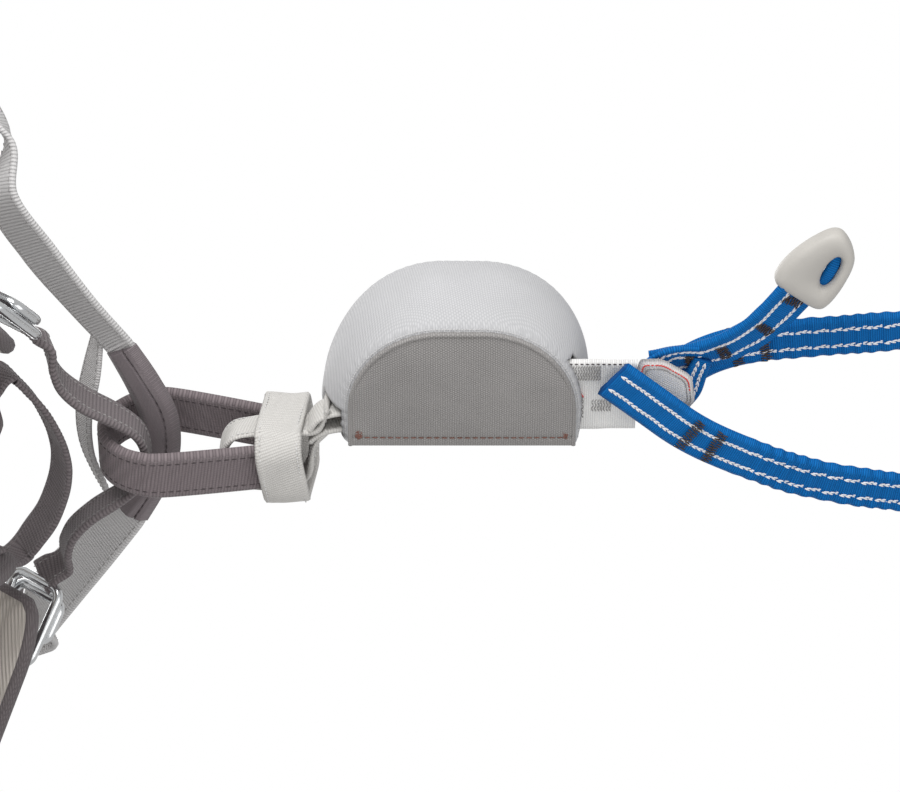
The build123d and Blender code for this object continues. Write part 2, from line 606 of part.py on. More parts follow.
def make_connector(name, place):
    """Body, gate, pivot, locking sleeve and the keeper on the small end."""
    spine = [(x, y, 0) for x, y in connector_line()]
    radii = [10, 14, 22, 26, 9, 8, 10]
    path = FilletPolyline(*spine, radius=radii)
    first = Vector(*spine[1]) - Vector(*spine[0])
    body = sweep(Plane(origin=spine[0], x_dir=(0, 0, 1), z_dir=first) * Circle(ROD), path=path)
    start = Vector(*spine[-1])
    finish = Vector(*spine[0])
    run = (finish - start).normalized()
    gate_rod = ROD - 0.6
    pivot = start + run * (gate_rod + 2 * GATE_CLEAR)
    gate_length = (finish - pivot).length - 2 * GATE_CLEAR
    bar = Plane(origin=pivot, z_dir=run).location * Cylinder(
        gate_rod, gate_length, align=(Align.CENTER, Align.CENTER, Align.MIN))
    gate = bar + Pos(*pivot) * Sphere(gate_rod)
    room = Plane(origin=(start + finish) * 0.5, z_dir=run).location
    body -= room * Cylinder(ROD + GATE_CLEAR, (finish - start).length + 2 * GATE_CLEAR)
    save(place * body, f"{name}_body")
    pin = Pos(*pivot) * Cylinder(PIN, 2 * ROD)
    save(place * (gate - Pos(*pivot) * Cylinder(PIN + PIN_CLEAR, 3 * ROD)), f"{name}_gate")
    save(place * pin, f"{name}_gate_pin")
    middle = pivot + run * (gate_length * 0.62)
    tube = Cylinder(ROD + SLEEVE_WALL, SLEEVE_LENGTH) - Cylinder(gate_rod + PIN_CLEAR, 2 * SLEEVE_LENGTH)
    tube = Plane(origin=middle, z_dir=run).location * tube
    save(place * tube, f"{name}_lock_sleeve")
    keeper = Box(19, ARM_WIDTH + 4, ARM_THICK + 3)
    keeper = fillet(keeper.edges().filter_by(Axis.Z), 4)
    hollow = Pos(-6, 0, 0) * Box(20, ARM_WIDTH + 2 * CLEAR, ARM_THICK + 2 * CLEAR)
    bar_room = Pos(9, 0, 0) * Rot(90, 0, 0) * Cylinder(ROD + 2 * CLEAR, 40)
    save(place * (Pos(-9, 0, 0) * (keeper - hollow - bar_room)), f"{name}_keeper")


def make_connectors():
    for name, route, rise in (
        ("near_connector", NEAR_ROUTE, NEAR_LEVEL),
        ("far_connector", FAR_ROUTE, FAR_LEVEL),
    ):
        (x0, y0), (x1, y1) = route[-2:]
        heading = math.degrees(math.atan2(y1 - y0, x1 - x0))
        reach = 12.0
        x = x1 + reach * math.cos(math.radians(heading))
        y = y1 + reach * math.sin(math.radians(heading))
        make_connector(name, Pos(x, y, TIE_Z + rise) * Rot(0, 0, heading))


os.makedirs("parts", exist_ok=True)
make_belt()
make_waist_straps()
make_leg_bridge()
make_belay_loop()
make_girth_hitch()
make_leg_loops()
make_buckles()
make_tails()
make_risers()
make_gear_loops()
make_pouch()
make_absorber()
make_arms()
make_stub_ring()
make_connectors()
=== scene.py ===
import math
import random

import bmesh
import bpy
from mathutils import Matrix, Vector


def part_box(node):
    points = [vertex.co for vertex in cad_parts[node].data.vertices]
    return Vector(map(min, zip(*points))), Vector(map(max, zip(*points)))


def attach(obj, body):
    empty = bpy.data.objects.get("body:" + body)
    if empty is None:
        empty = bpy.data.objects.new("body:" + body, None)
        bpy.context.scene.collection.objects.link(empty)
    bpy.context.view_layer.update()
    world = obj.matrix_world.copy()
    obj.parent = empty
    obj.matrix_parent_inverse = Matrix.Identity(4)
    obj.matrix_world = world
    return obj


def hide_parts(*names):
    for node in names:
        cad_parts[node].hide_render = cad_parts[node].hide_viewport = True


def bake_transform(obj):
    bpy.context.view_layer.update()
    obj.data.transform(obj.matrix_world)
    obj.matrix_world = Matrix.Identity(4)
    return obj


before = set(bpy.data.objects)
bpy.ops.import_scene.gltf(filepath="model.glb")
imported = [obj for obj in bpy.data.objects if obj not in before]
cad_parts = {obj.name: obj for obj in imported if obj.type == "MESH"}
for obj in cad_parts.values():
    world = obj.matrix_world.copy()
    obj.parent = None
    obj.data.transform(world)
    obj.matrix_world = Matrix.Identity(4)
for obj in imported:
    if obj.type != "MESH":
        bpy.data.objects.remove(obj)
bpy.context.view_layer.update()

MM = 0.001

# Places read from the frame
BELAY_LOW, BELAY_HIGH = (Vector(corner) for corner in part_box("belay_loop"))
TIE_Z = (BELAY_LOW.z + BELAY_HIGH.z) / 2

# Viewing direction of the main camera
VIEW_TILT = math.radians(56)
VIEW_DISTANCE = 1.4
VIEW_WIDTH = 0.378
LAMP_DISTANCE = 1.5
FLOOR_LEVEL = -5.0
FLOOR_HALF = 40.0
VIEW_TARGET = Vector((0.269, 0.0, TIE_Z + 0.0338))


# ---------------------------------------------------------------- shader helpers

def new_node(tree, kind, inputs=None, **settings):
    """Adds a node, sets its settings, and links or sets its inputs."""
    made = tree.nodes.new(kind)
    for key, value in settings.items():
        setattr(made, key, value)
    for key, value in (inputs or {}).items():
        if isinstance(value, bpy.types.NodeSocket):
            tree.links.new(value, made.inputs[key])
        else:
            made.inputs[key].default_value = value
    return made


def calc(tree, operation, first, second=0.0):
    """One math node's result."""
    return new_node(tree, "ShaderNodeMath", {0: first, 1: second}, operation=operation).outputs[0]


def crests(tree, value):
    """Rounded crests, one for each whole step of a value."""
    return calc(tree, "ABSOLUTE", calc(tree, "SINE", calc(tree, "MULTIPLY", value, math.pi)))


def weave_tree(name, vector, numbers):
    """An empty shader group that takes a vector and numbers and gives a height and a shade."""
    tree = bpy.data.node_groups.new(name, "ShaderNodeTree")
    tree.interface.new_socket(vector, in_out="INPUT", socket_type="NodeSocketVector")
    for label, value in numbers.items():
        tree.interface.new_socket(label, in_out="INPUT", socket_type="NodeSocketFloat").default_value = value
    for label in ("Height", "Shade"):
        tree.interface.new_socket(label, in_out="OUTPUT", socket_type="NodeSocketFloat")
    return tree, tree.nodes.new("NodeGroupInput").outputs, tree.nodes.new("NodeGroupOutput").inputs


def weave_group():
    """Threads of a strap: ribs across it and warp threads along it, from its own UVs in metres."""
    tree, given, result = weave_tree(
        "strap_weave", "UV", {"Rib pitch": 0.0013, "Thread pitch": 0.0009, "Slant": 0.0, "Rib share": 0.6})
    parts = new_node(tree, "ShaderNodeSeparateXYZ", {0: given["UV"]}).outputs
    lean = calc(tree, "MULTIPLY", parts["Y"], given["Slant"])
    along = calc(tree, "DIVIDE", calc(tree, "ADD", parts["X"], lean), given["Rib pitch"])
    rib = crests(tree, along)
    step = calc(tree, "MULTIPLY", calc(tree, "FLOOR", along), 0.5)
    across = calc(tree, "ADD", calc(tree, "DIVIDE", parts["Y"], given["Thread pitch"]), step)
    thread = crests(tree, across)
    rest = calc(tree, "SUBTRACT", 1.0, given["Rib share"])
    height = calc(tree, "ADD", calc(tree, "MULTIPLY", rib, given["Rib share"]),
                  calc(tree, "MULTIPLY", thread, rest))
    tree.links.new(height, result["Height"])
    fibre = new_node(tree, "ShaderNodeTexNoise", {"Vector": given["UV"], "Scale": 900.0,
                                                  "Detail": 2.0}).outputs[0]
    # Colour shade: darker in the hollows between ribs and threads, which is painted shade, plus random fibre
    # tone from the noise
    shade = calc(tree, "ADD", calc(tree, "MULTIPLY", height, 0.75), calc(tree, "MULTIPLY", fibre, 0.3))
    tree.links.new(shade, result["Shade"])
    return tree


def plain_weave_group():
    """Woven cloth on any surface, from Object coordinates in metres."""
    tree, given, result = weave_tree("cloth_weave", "Vector", {"Pitch": 0.0008})
    bend = new_node(tree, "ShaderNodeTexNoise", {"Vector": given["Vector"], "Scale": 60.0}).outputs[1]
    small = new_node(tree, "ShaderNodeVectorMath", {0: bend, 3: 0.0006}, operation="SCALE").outputs[0]
    place = new_node(tree, "ShaderNodeVectorMath", {0: given["Vector"], 1: small}, operation="ADD").outputs[0]
    parts = new_node(tree, "ShaderNodeSeparateXYZ", {0: place}).outputs
    first = calc(tree, "DIVIDE", calc(tree, "ADD", parts["X"], calc(tree, "MULTIPLY", parts["Z"], 0.11)),
                 given["Pitch"])
    second = calc(tree, "DIVIDE", calc(tree, "ADD", parts["Y"], calc(tree, "MULTIPLY", parts["Z"], 0.93)),
                  given["Pitch"])
    offset = calc(tree, "MULTIPLY", calc(tree, "FLOOR", first), 0.5)
    height = calc(tree, "MULTIPLY", crests(tree, first), crests(tree, calc(tree, "ADD", second, offset)))
    tree.links.new(height, result["Height"])
    patch = new_node(tree, "ShaderNodeTexNoise", {"Vector": given["Vector"], "Scale": 35.0,
                                                  "Detail": 4.0}).outputs[0]
    # Colour shade: darker where the weave is low, which is painted shade in its hollows, plus random patches of
    # tone from the noise
    shade = calc(tree, "ADD", calc(tree, "MULTIPLY", height, 0.6), calc(tree, "MULTIPLY", patch, 0.4))
    tree.links.new(shade, result["Shade"])
    return tree


WEAVE = weave_group()
CLOTH = plain_weave_group()
MAT = {}


def new_material(name, roughness, **constants):
    """A material in MAT with one Principled shader, whose constants sit on its own sockets."""
    MAT[name] = bpy.data.materials.new(name)
    MAT[name].use_nodes = True
    tree = MAT[name].node_tree
    shader = tree.nodes["Principled BSDF"]
    shader.inputs["Roughness"].default_value = roughness
    for label, value in constants.items():
        shader.inputs[label.replace("_", " ")].default_value = value
    return tree, shader


def dress(tree, shader, shade, dark, light, height, depth, strength):
    """Colours a shader from dark to light by a shade and gives it fine relief."""
    ramp = new_node(tree, "ShaderNodeMix", {0: shade, 6: (*dark, 1), 7: (*light, 1)}, data_type="RGBA")
    tree.links.new(ramp.outputs[2], shader.inputs["Base Color"])
    bump = new_node(tree, "ShaderNodeBump", {"Height": height, "Distance": depth, "Strength": strength})
    tree.links.new(bump.outputs[0], shader.inputs["Normal"])


def strap_material(name, dark, light, rib, thread, slant=0.0, share=0.6, depth=0.0005, roughness=0.82,
                   sheen=0.12,
                   shine=0.5):
    """Webbing whose ribs and threads follow the strap."""
    tree, shader = new_material(name, roughness, Sheen_Weight=sheen, Sheen_Roughness=0.5,
                                Specular_IOR_Level=shine)
    uv = new_node(tree, "ShaderNodeUVMap", uv_map="UVMap").outputs[0]
    weave = new_node(tree, "ShaderNodeGroup", {"UV": uv, "Rib pitch": rib, "Thread pitch": thread,
                                               "Slant": slant,
                                               "Rib share": share}, node_tree=WEAVE).outputs
    dress(tree, shader, weave["Shade"], dark, light, weave["Height"], depth, 0.8)


def cloth_material(name, dark, light, pitch, depth=0.0003, roughness=0.85):
    """Plain woven or knitted cloth on a shaped piece."""
    tree, shader = new_material(name, roughness, Sheen_Weight=0.1, Sheen_Roughness=0.5)
    place = new_node(tree, "ShaderNodeTexCoord").outputs["Object"]
    weave = new_node(tree, "ShaderNodeGroup", {"Vector": place, "Pitch": pitch}, node_tree=CLOTH).outputs
    dress(tree, shader, weave["Shade"], dark, light, weave["Height"], depth, 0.7)


def solid_material(name, dark, light, roughness, scale=80.0, depth=0.00008, **constants):
    """Moulded, metal or thread surface with slight mottling and grain."""
    tree, shader = new_material(name, roughness, **constants)
    place = new_node(tree, "ShaderNodeTexCoord").outputs["Object"]
    noise = new_node(tree, "ShaderNodeTexNoise", {"Vector": place, "Scale": scale, "Detail": 5.0}).outputs[0]
    grain = new_node(tree, "ShaderNodeTexNoise", {"Vector": place, "Scale": 30 * scale,
                                                  "Detail": 2.0}).outputs[0]
    rough = calc(tree, "ADD", calc(tree, "MULTIPLY", noise, 0.12), roughness - 0.06)
    tree.links.new(rough, shader.inputs["Roughness"])
    dress(tree, shader, noise, dark, light, grain, depth, 0.5)


# Webbing colours run from the dark colour in the weave's hollows, painted shade there, to the light colour on
# its crests
strap_material("light_ribbed", (0.42, 0.41, 0.41), (0.66, 0.65, 0.645), 0.0014, 0.0011, share=0.75)
strap_material("twill", (0.32, 0.31, 0.31), (0.70, 0.685, 0.68), 0.0011, 0.0010, slant=0.8)
strap_material("dark_web", (0.095, 0.076, 0.082), (0.25, 0.208, 0.217), 0.0013, 0.0011, slant=0.12)
strap_material("dark_rib", (0.075, 0.062, 0.066), (0.20, 0.172, 0.178), 0.0017, 0.0014, share=0.75)
strap_material("sleeve", (0.105, 0.087, 0.094), (0.24, 0.205, 0.215), 0.0008, 0.0008, slant=0.5,
               depth=0.00025)
strap_material("pale_web", (0.47, 0.455, 0.43), (0.65, 0.635, 0.61), 0.0011, 0.0010, slant=0.25,
               depth=0.0003)
strap_material("white_web", (0.62, 0.61, 0.60), (0.86, 0.855, 0.84), 0.0009, 0.0009, depth=0.0003)
strap_material("blue_web", (0.0, 0.05, 0.20), (0.003, 0.17, 0.52), 0.0009, 0.0012, share=0.7,
               depth=0.0003, roughness=0.7, sheen=0.0, shine=0.15)
# Cloth colours run from the dark colour in the weave's hollows, painted shade there, to the light colour on its
# crests
cloth_material("pouch_light", (0.40, 0.40, 0.41), (0.62, 0.62, 0.63), 0.0010, 0.00022)
cloth_material("pouch_dark", (0.185, 0.176, 0.172), (0.44, 0.424, 0.414), 0.00095, 0.0004)
cloth_material("pad_dark", (0.085, 0.072, 0.075), (0.19, 0.165, 0.17), 0.0011, 0.0004)
cloth_material("pad_mesh", (0.32, 0.29, 0.26), (0.66, 0.61, 0.56), 0.0016, 0.0007)
solid_material("foam", (0.03, 0.03, 0.033), (0.05, 0.05, 0.055), 0.9)
solid_material("steel", (0.60, 0.61, 0.62), (0.78, 0.79, 0.80), 0.14, Metallic=1.0)
solid_material("alloy", (0.30, 0.32, 0.35), (0.42, 0.44, 0.47), 0.32, Metallic=1.0)
solid_material("dark_alloy", (0.05, 0.055, 0.065), (0.09, 0.095, 0.11), 0.38, Metallic=1.0)
solid_material("moulded", (0.45, 0.43, 0.40), (0.53, 0.51, 0.475), 0.55)
solid_material("rubber", (0.02, 0.02, 0.022), (0.035, 0.035, 0.038), 0.62)
solid_material("white_thread", (0.72, 0.72, 0.74), (0.90, 0.90, 0.91), 0.7)
solid_material("dark_thread", (0.035, 0.022, 0.016), (0.075, 0.052, 0.040), 0.8)
solid_material("grey_thread", (0.20, 0.19, 0.19), (0.42, 0.41, 0.40), 0.8)
solid_material("seam_thread", (0.045, 0.035, 0.038), (0.085, 0.07, 0.073), 0.8)
solid_material("edge_thread", (0.13, 0.115, 0.12), (0.26, 0.235, 0.24), 0.8)
solid_material("light_thread", (0.55, 0.545, 0.54), (0.72, 0.715, 0.71), 0.8)
solid_material("brown_thread", (0.16, 0.07, 0.055), (0.26, 0.13, 0.10), 0.8)
solid_material("red_thread", (0.55, 0.03, 0.02), (0.75, 0.06, 0.045), 0.7)
cloth_material("white_eye", (0.60, 0.59, 0.58), (0.84, 0.835, 0.82), 0.0009)
cloth_material("elastic", (0.03, 0.03, 0.033), (0.09, 0.09, 0.095), 0.0012)


# ---------------------------------------------------------------- straps

def tie(x, y, rise):
    """A place in millimetres whose height is counted from the belay loop's middle."""
    return Vector((x * MM, y * MM, TIE_Z + rise * MM))


def wide(x, y, z):
    """A width vector or an offset, in millimetres."""
    return Vector((x * MM, y * MM, z * MM))


def stations(*table):
    """Strap stations from rows of x, y, height, and the width's x, y and z, in millimetres."""
    return [(tie(*row[:3]), wide(*row[3:])) for row in table]


def direction(points, index, closed=False):
    """Which way a line runs at one of its points."""
    last = len(points) - 1
    if closed:
        return (points[(index + 1) % (last + 1)] - points[index - 1]).normalized()
    return (points[min(index + 1, last)] - points[max(index - 1, 0)]).normalized()


def curve_between(before, first, second, after, share):
    """Catmull-Rom blend of four values."""
    a = first * 2
    b = (second - before) * share
    c = (before * 2 - first * 5 + second * 4 - after) * share ** 2
    d = (first * 3 - before - second * 3 + after) * share ** 3
    return (a + b + c + d) * 0.5


def smooth_rows(marks, step=0.0015, closed=False):
    """Evenly spaced (place, width vector) rows on a smooth curve through the marked stations."""
    count = len(marks)
    rows = []
    for index in range(count if closed else count - 1):
        picks = [index - 1, index, index + 1, index + 2]
        picks = [marks[pick % count if closed else min(max(pick, 0), count - 1)] for pick in picks]
        places, widths = zip(*picks)
        pieces = max(2, round((places[2] - places[1]).length / step))
        for part in range(pieces):
            share = part / pieces
            rows.append((curve_between(*places, share), curve_between(*widths, share)))
    if not closed:
        rows.append((marks[-1][0].copy(), marks[-1][1].copy()))
    return rows


def band_axes(rows, closed=False):
    """Adds to each row its direction, squared width vector, face normal and distance along."""
    places = [place for place, _ in rows]
    full = []
    run = 0.0
    for index, (place, width) in enumerate(rows):
        along = direction(places, index, closed)
        half = width.length / 2
        across = (width - along * width.dot(along)).normalized()
        normal = across.cross(along).normalized()
        if index:
            run += (place - rows[index - 1][0]).length
        full.append((place, along, across, normal, half, run))
    return full


def link_mesh(name, points, faces, uvs=None, smooth=True):
    """A mesh object at the origin, with one UV for each face corner."""
    mesh = bpy.data.meshes.new(name)
    mesh.from_pydata([tuple(point) for point in points], [], faces)
    if uvs:
        layer = mesh.uv_layers.new(name="UVMap")
        for loop in mesh.loops:
            layer.data[loop.index].uv = uvs[loop.index]
    for polygon in mesh.polygons:
        polygon.use_smooth = smooth
    made = bpy.data.objects.new(name, mesh)
    bpy.context.scene.collection.objects.link(made)
    return made


def strap(name, rows, thick, finish, closed=False, relief=None, edge=None, samples=8):
    """A band of webbing with rounded edges along its rows. relief raises its faces and edge widens it."""
    full = band_axes(rows, closed)
    ring = []
    for face in (1.0, -1.0):
        ring += [(face * (2 * index / samples - 1), face, 0.0) for index in range(samples + 1)]
        ring.append((face, 0.0, 0.5))
    size = len(ring)
    points = []
    for place, along, across, normal, half, run in full:
        flat = half * (edge(run) if edge else 1.0) - thick / 2
        for side, face, beyond in ring:
            lift = thick / 2 + (relief(run, side) if relief else 0.0)
            points.append(place + across * (side * flat + math.copysign(beyond * thick, side))
                          + normal * face * lift)
    faces = []
    uvs = []
    total = len(full)
    laps = total if closed else total - 1
    for row in range(laps):
        start = full[row]
        following = full[(row + 1) % total]
        end_run = following[5] if row + 1 < total else start[5] + (following[0] - start[0]).length
        for col in range(size):
            after = (col + 1) % size
            a, b = row * size + col, row * size + after
            c, d = (row + 1) % total * size + after, (row + 1) % total * size + col
            faces.append((a, d, c, b))
            side_a, side_b = ring[col][0] * start[4], ring[after][0] * start[4]
            uvs += [(start[5], side_a), (end_run, side_a), (end_run, side_b), (start[5], side_b)]
    if not closed:
        faces += [tuple(range(size)), tuple(range(total * size - 1, (total - 1) * size - 1, -1))]
        uvs += [(0.0, 0.0)] * size * 2
    made = link_mesh(name, points, faces, uvs)
    made.data.materials.append(MAT[finish])
    return made


# ---------------------------------------------------------------- stitches (Geometry Nodes)

THREAD_SIZES = ("Length", "Width", "Height")
SEAM_THREAD = (0.0024, 0.0006, 0.0005)
EDGE_THREAD = (0.0016, 0.0007, 0.0005)
FINE_THREAD = (0.0014, 0.0006, 0.0004)
RIM_THREAD = (0.0013, 0.0006, 0.0005)


def stitch_tree():
    """One thread of the given size on each point, laid along one vector and facing another."""
    tree = bpy.data.node_groups.new("stitches", "GeometryNodeTree")
    tree.interface.new_socket("Geometry", in_out="INPUT", socket_type="NodeSocketGeometry")
    for label, value in zip(THREAD_SIZES, (0.003, 0.0008, 0.0006)):
        tree.interface.new_socket(label, in_out="INPUT", socket_type="NodeSocketFloat").default_value = value
    tree.interface.new_socket("Finish", in_out="INPUT", socket_type="NodeSocketMaterial")
    tree.interface.new_socket("Geometry", in_out="OUTPUT", socket_type="NodeSocketGeometry")
    given = tree.nodes.new("NodeGroupInput").outputs
    result = tree.nodes.new("NodeGroupOutput").inputs
    along, out = (new_node(tree, "GeometryNodeInputNamedAttribute", {"Name": label},
                           data_type="FLOAT_VECTOR").outputs[0]
                  for label in ("along", "out"))
    turn = new_node(tree, "FunctionNodeAlignRotationToVector", {"Vector": along}, axis="X").outputs[0]
    face = new_node(tree, "FunctionNodeAlignRotationToVector", {"Rotation": turn, "Vector": out}, axis="Z",
                    pivot_axis="X").outputs[0]
    size = new_node(tree, "ShaderNodeCombineXYZ", {0: given["Length"], 1: given["Width"],
                                                   2: given["Height"]}).outputs[0]
    bead = new_node(tree, "GeometryNodeMeshUVSphere", {"Segments": 8, "Rings": 5, "Radius": 0.5}).outputs[0]
    laid = new_node(tree, "GeometryNodeInstanceOnPoints",
                    {"Points": given["Geometry"], "Instance": bead, "Rotation": face,
                     "Scale": size}).outputs[0]
    real = new_node(tree, "GeometryNodeRealizeInstances", {0: laid}).outputs[0]
    done = new_node(tree, "GeometryNodeSetMaterial",
                    {"Geometry": real, "Material": given["Finish"]}).outputs[0]
    tree.links.new(done, result[0])
    return tree


STITCHES = stitch_tree()


def sew(name, anchors, size, finish, body):
    """Threads at the anchors (place, along, out), made a plain mesh that rides on a body, if one is given."""
    mesh = bpy.data.meshes.new(name + "_points")
    mesh.from_pydata([tuple(place) for place, _, _ in anchors], [], [])
    for label, pick in (("along", 1), ("out", 2)):
        data = mesh.attributes.new(label, "FLOAT_VECTOR", "POINT").data
        for index, anchor in enumerate(anchors):
            data[index].vector = anchor[pick]
    seed = bpy.data.objects.new(name + "_points", mesh)
    bpy.context.scene.collection.objects.link(seed)
    modifier = seed.modifiers.new("stitches", "NODES")
    modifier.node_group = STITCHES
    values = dict(zip(THREAD_SIZES, size), Finish=MAT[finish])
    for item in STITCHES.interface.items_tree:
        if item.in_out == "INPUT" and item.name in values:
            modifier[item.identifier] = values[item.name]
    seed.update_tag()
    ready = seed.evaluated_get(bpy.context.evaluated_depsgraph_get())
    result = bpy.data.meshes.new_from_object(ready)
    bpy.data.objects.remove(seed)
    for polygon in result.polygons:
        polygon.use_smooth = True
    made = bpy.data.objects.new(name, result)
    bpy.context.scene.collection.objects.link(made)
    if body:
        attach(made, body)
    return made


def row_of_stitches(rows, side, face, pitch, thick, start=0.0, lift=None):
    """Anchors along a band at this share of its half width, on its face 1 or -1."""
    anchors = []
    due = start
    for place, along, across, normal, half, run in band_axes(rows):
        if due <= run:
            raise_by = thick / 2 + (lift(run, side) if lift else 0.0)
            flat = half - thick / 2
            anchors.append((place + across * flat * side + normal * face * raise_by, along, normal * face))
            due = run + pitch
    return anchors


def bar_tack(rows, run_at, face, thick, count=13, spread=0.84, seed=1, zigzag=0.0012):
    """Anchors of a dense row of threads across a band, this far along it."""
    full = band_axes(rows)
    place, along, across, normal, half, _ = min(full, key=lambda row: abs(row[5] - run_at))
    rng = random.Random(seed)
    anchors = []
    for index in range(count):
        side = spread * (-1 + 2 * index / (count - 1))
        shift = zigzag * (1 if index % 2 else -1) + rng.uniform(-0.0004, 0.0004)
        lean = (along + across * rng.uniform(-0.25, 0.25)).normalized()
        spot = place + across * half * side + along * shift + normal * face * (thick / 2 + 0.0002)
        anchors.append((spot, lean, normal * face))
    return anchors


# ---------------------------------------------------------------- camera and light

def aimed(name, data, way, distance):
    """A camera or a lamp this far from the middle of the view, turned towards it."""
    made = bpy.data.objects.new(name, data)
    made.location = VIEW_TARGET + way.normalized() * distance
    made.rotation_euler = (-way).to_track_quat("-Z", "Y").to_euler()
    bpy.context.scene.collection.objects.link(made)
    return made


def make_view():
    """The main camera and three soft lamps."""
    toward = Vector((0.0, -math.cos(VIEW_TILT), -math.sin(VIEW_TILT)))
    camera = bpy.data.cameras.new("camera")
    camera.lens = camera.sensor_width * VIEW_DISTANCE / VIEW_WIDTH
    camera.clip_start = 0.01
    camera.clip_end = 30.0
    bpy.context.scene.camera = aimed("camera", camera, toward, VIEW_DISTANCE)
    up = Vector((0.0, -math.sin(VIEW_TILT), math.cos(VIEW_TILT)))
    for name, way, size, power in (
        ("key_light", up * 1.0 + toward * 0.9 + Vector((-0.35, 0, 0)), 0.9, 17.0),
        ("fill_light", toward * 1.2 - up * 0.5 + Vector((0.7, 0, 0)), 1.4, 6.0),
        ("rim_light", Vector((-0.6, 0.5, 1.2)), 1.0, 9.0),
    ):
        light = bpy.data.lights.new(name, "AREA")
        light.size = size
        light.energy = power
        aimed(name, light, way, LAMP_DISTANCE)


def make_stage():
    """A pale floor under an even pale sky."""
    world = bpy.data.worlds.new("studio")
    world.use_nodes = True
    tree = world.node_tree
    tree.nodes.clear()
    ray = tree.nodes.new("ShaderNodeLightPath").outputs["Is Camera Ray"]
    seen, soft = (new_node(tree, "ShaderNodeBackground",
                           {"Color": (1, 1, 1, 1), "Strength": power}).outputs[0]
                  for power in (1.0, 0.62))
    mixed = new_node(tree, "ShaderNodeMixShader", {0: ray, 1: soft, 2: seen}).outputs[0]
    end = tree.nodes.new("ShaderNodeOutputWorld")
    tree.links.new(mixed, end.inputs["Surface"])
    bpy.context.scene.world = world
    bpy.context.scene.view_settings.view_transform = "Standard"
    corners = [(x * FLOOR_HALF, y * FLOOR_HALF, FLOOR_LEVEL) for x, y in ((-1, -1), (1, -1), (1, 1), (-1, 1))]
    floor = link_mesh("floor", corners, [(0, 1, 2, 3)])
    new_material("floor_pale", 0.9, Base_Color=(0.95, 0.95, 0.95, 1))
    floor.data.materials.append(MAT["floor_pale"])


# ---------------------------------------------------------------- cords

NEAR_ROUTE = [(0.334, -0.046), (0.348, -0.0345), (0.366, -0.019), (0.3895, -0.007), (0.416, 0.0036),
              (0.456, 0.0106), (0.5, 0.013), (0.548, 0.012), (0.59, 0.014)]
FAR_ROUTE = [(0.356, -0.024), (0.367, -0.034), (0.3825, -0.0415), (0.402, -0.045), (0.432, -0.0476),
             (0.47, -0.0512), (0.512, -0.05), (0.556, -0.0528), (0.592, -0.052)]
STUB_ROUTE = [(0.350, -0.040), (0.3698, -0.043), (0.3866, -0.0507), (0.3992, -0.0623), (0.410, -0.078)]
NEAR_RISE = -22 * MM
STUB_RISE = -2 * MM
FAR_RISE = 8 * MM
ARM_WIDTH = 19 * MM


def spline_points(name, route, rise):
    """Points along the smooth spline that the route controls."""
    curve = bpy.data.curves.new(name, "CURVE")
    curve.dimensions = "3D"
    curve.resolution_u = 24
    spline = curve.splines.new("NURBS")
    spline.points.add(len(route) - 1)
    for point, (x, y) in zip(spline.points, route):
        point.co = (x, y, TIE_Z + rise, 1.0)
    spline.order_u = 3
    spline.use_endpoint_u = True
    holder = bpy.data.objects.new(name, curve)
    bpy.context.scene.collection.objects.link(holder)
    mesh = bpy.data.meshes.new_from_object(holder.evaluated_get(bpy.context.evaluated_depsgraph_get()))
    points = [vertex.co.copy() for vertex in mesh.vertices]
    bpy.data.objects.remove(holder)
    return points


def even_points(points, step):
    """The same line with points at an even distance."""
    result = [points[0].copy()]
    due = step
    run = 0.0
    for first, second in zip(points, points[1:]):
        length = (second - first).length
        while run + length >= due and length > 0:
            result.append(first.lerp(second, (due - run) / length))
            due += step
        run += length
    if (result[-1] - points[-1]).length > step * 0.3:
        result.append(points[-1].copy())
    return result


def flat_rows(points, width):
    """Rows for a strap that lies level along the points."""
    return [(place, Vector((0, 0, 1)).cross(direction(points, index)).normalized() * width)
            for index, place in enumerate(points)]


def gathered(doubled):
    """Relief and edge of an arm: smooth where it is sewn double, then gathered into soft ribbed waves."""
    def share(run):
        return min(1.0, max(0.0, (run - doubled) / 0.012))

    def relief(run, side):
        rib = (abs(math.sin(math.pi * run / 0.0018)) - 0.5) * 0.0004
        wave = math.sin(2 * math.pi * run / 0.0064 + 1.3 * math.sin(run * 150)) * 0.00075 * (0.55
                                                                                             + 0.45 * side ** 2)
        rim = 0.0003 * abs(side) ** 6
        groove = -0.0003 * math.exp(-((abs(side) - 0.5) / 0.1) ** 2)
        soft = 0.0002 * math.sin(run * 420 + side * 2) + 0.00008 * math.sin(2 * math.pi * run / 0.0011)
        return (rib + wave) * share(run) + rim + groove + soft * (1 - share(run)) - 0.0002

    def edge(run):
        wave = 0.030 * math.sin(2 * math.pi * run / 0.0064 + 1.3 * math.sin(run * 150) + 0.6)
        return 1.0 + (wave + 0.012 * math.sin(run * 230)) * share(run)
    return relief, edge


def tracers(name, rows, thick, body, relief, sides=(-0.52, 0.52)):
    """White chain stitches woven along an arm on both faces."""
    anchors = []
    for face in (1, -1):
        for side in sides:
            for place, along, out in row_of_stitches(rows, side, face, 0.0022, thick, 0.002, relief):
                across = out.cross(along)
                for way in (-1, 1):
                    spot = place + across * (0.00034 * way) + out * 0.0002 + along * (0.0003 * way)
                    anchors.append((spot, (along + across * 0.2 * way).normalized(), out))
    return sew(name, anchors, (0.0027, 0.00075, 0.0007), "white_thread", body)


def leaned(rows, first, last):
    """The same rows with their width turned about the strap by angles in degrees, from one end to the other."""
    turned = []
    for index, (place, width) in enumerate(rows):
        angle = math.radians(first + (last - first) * index / (len(rows) - 1))
        turned.append((place, width * math.cos(angle) + Vector((0, 0, width.length)) * math.sin(angle)))
    return turned


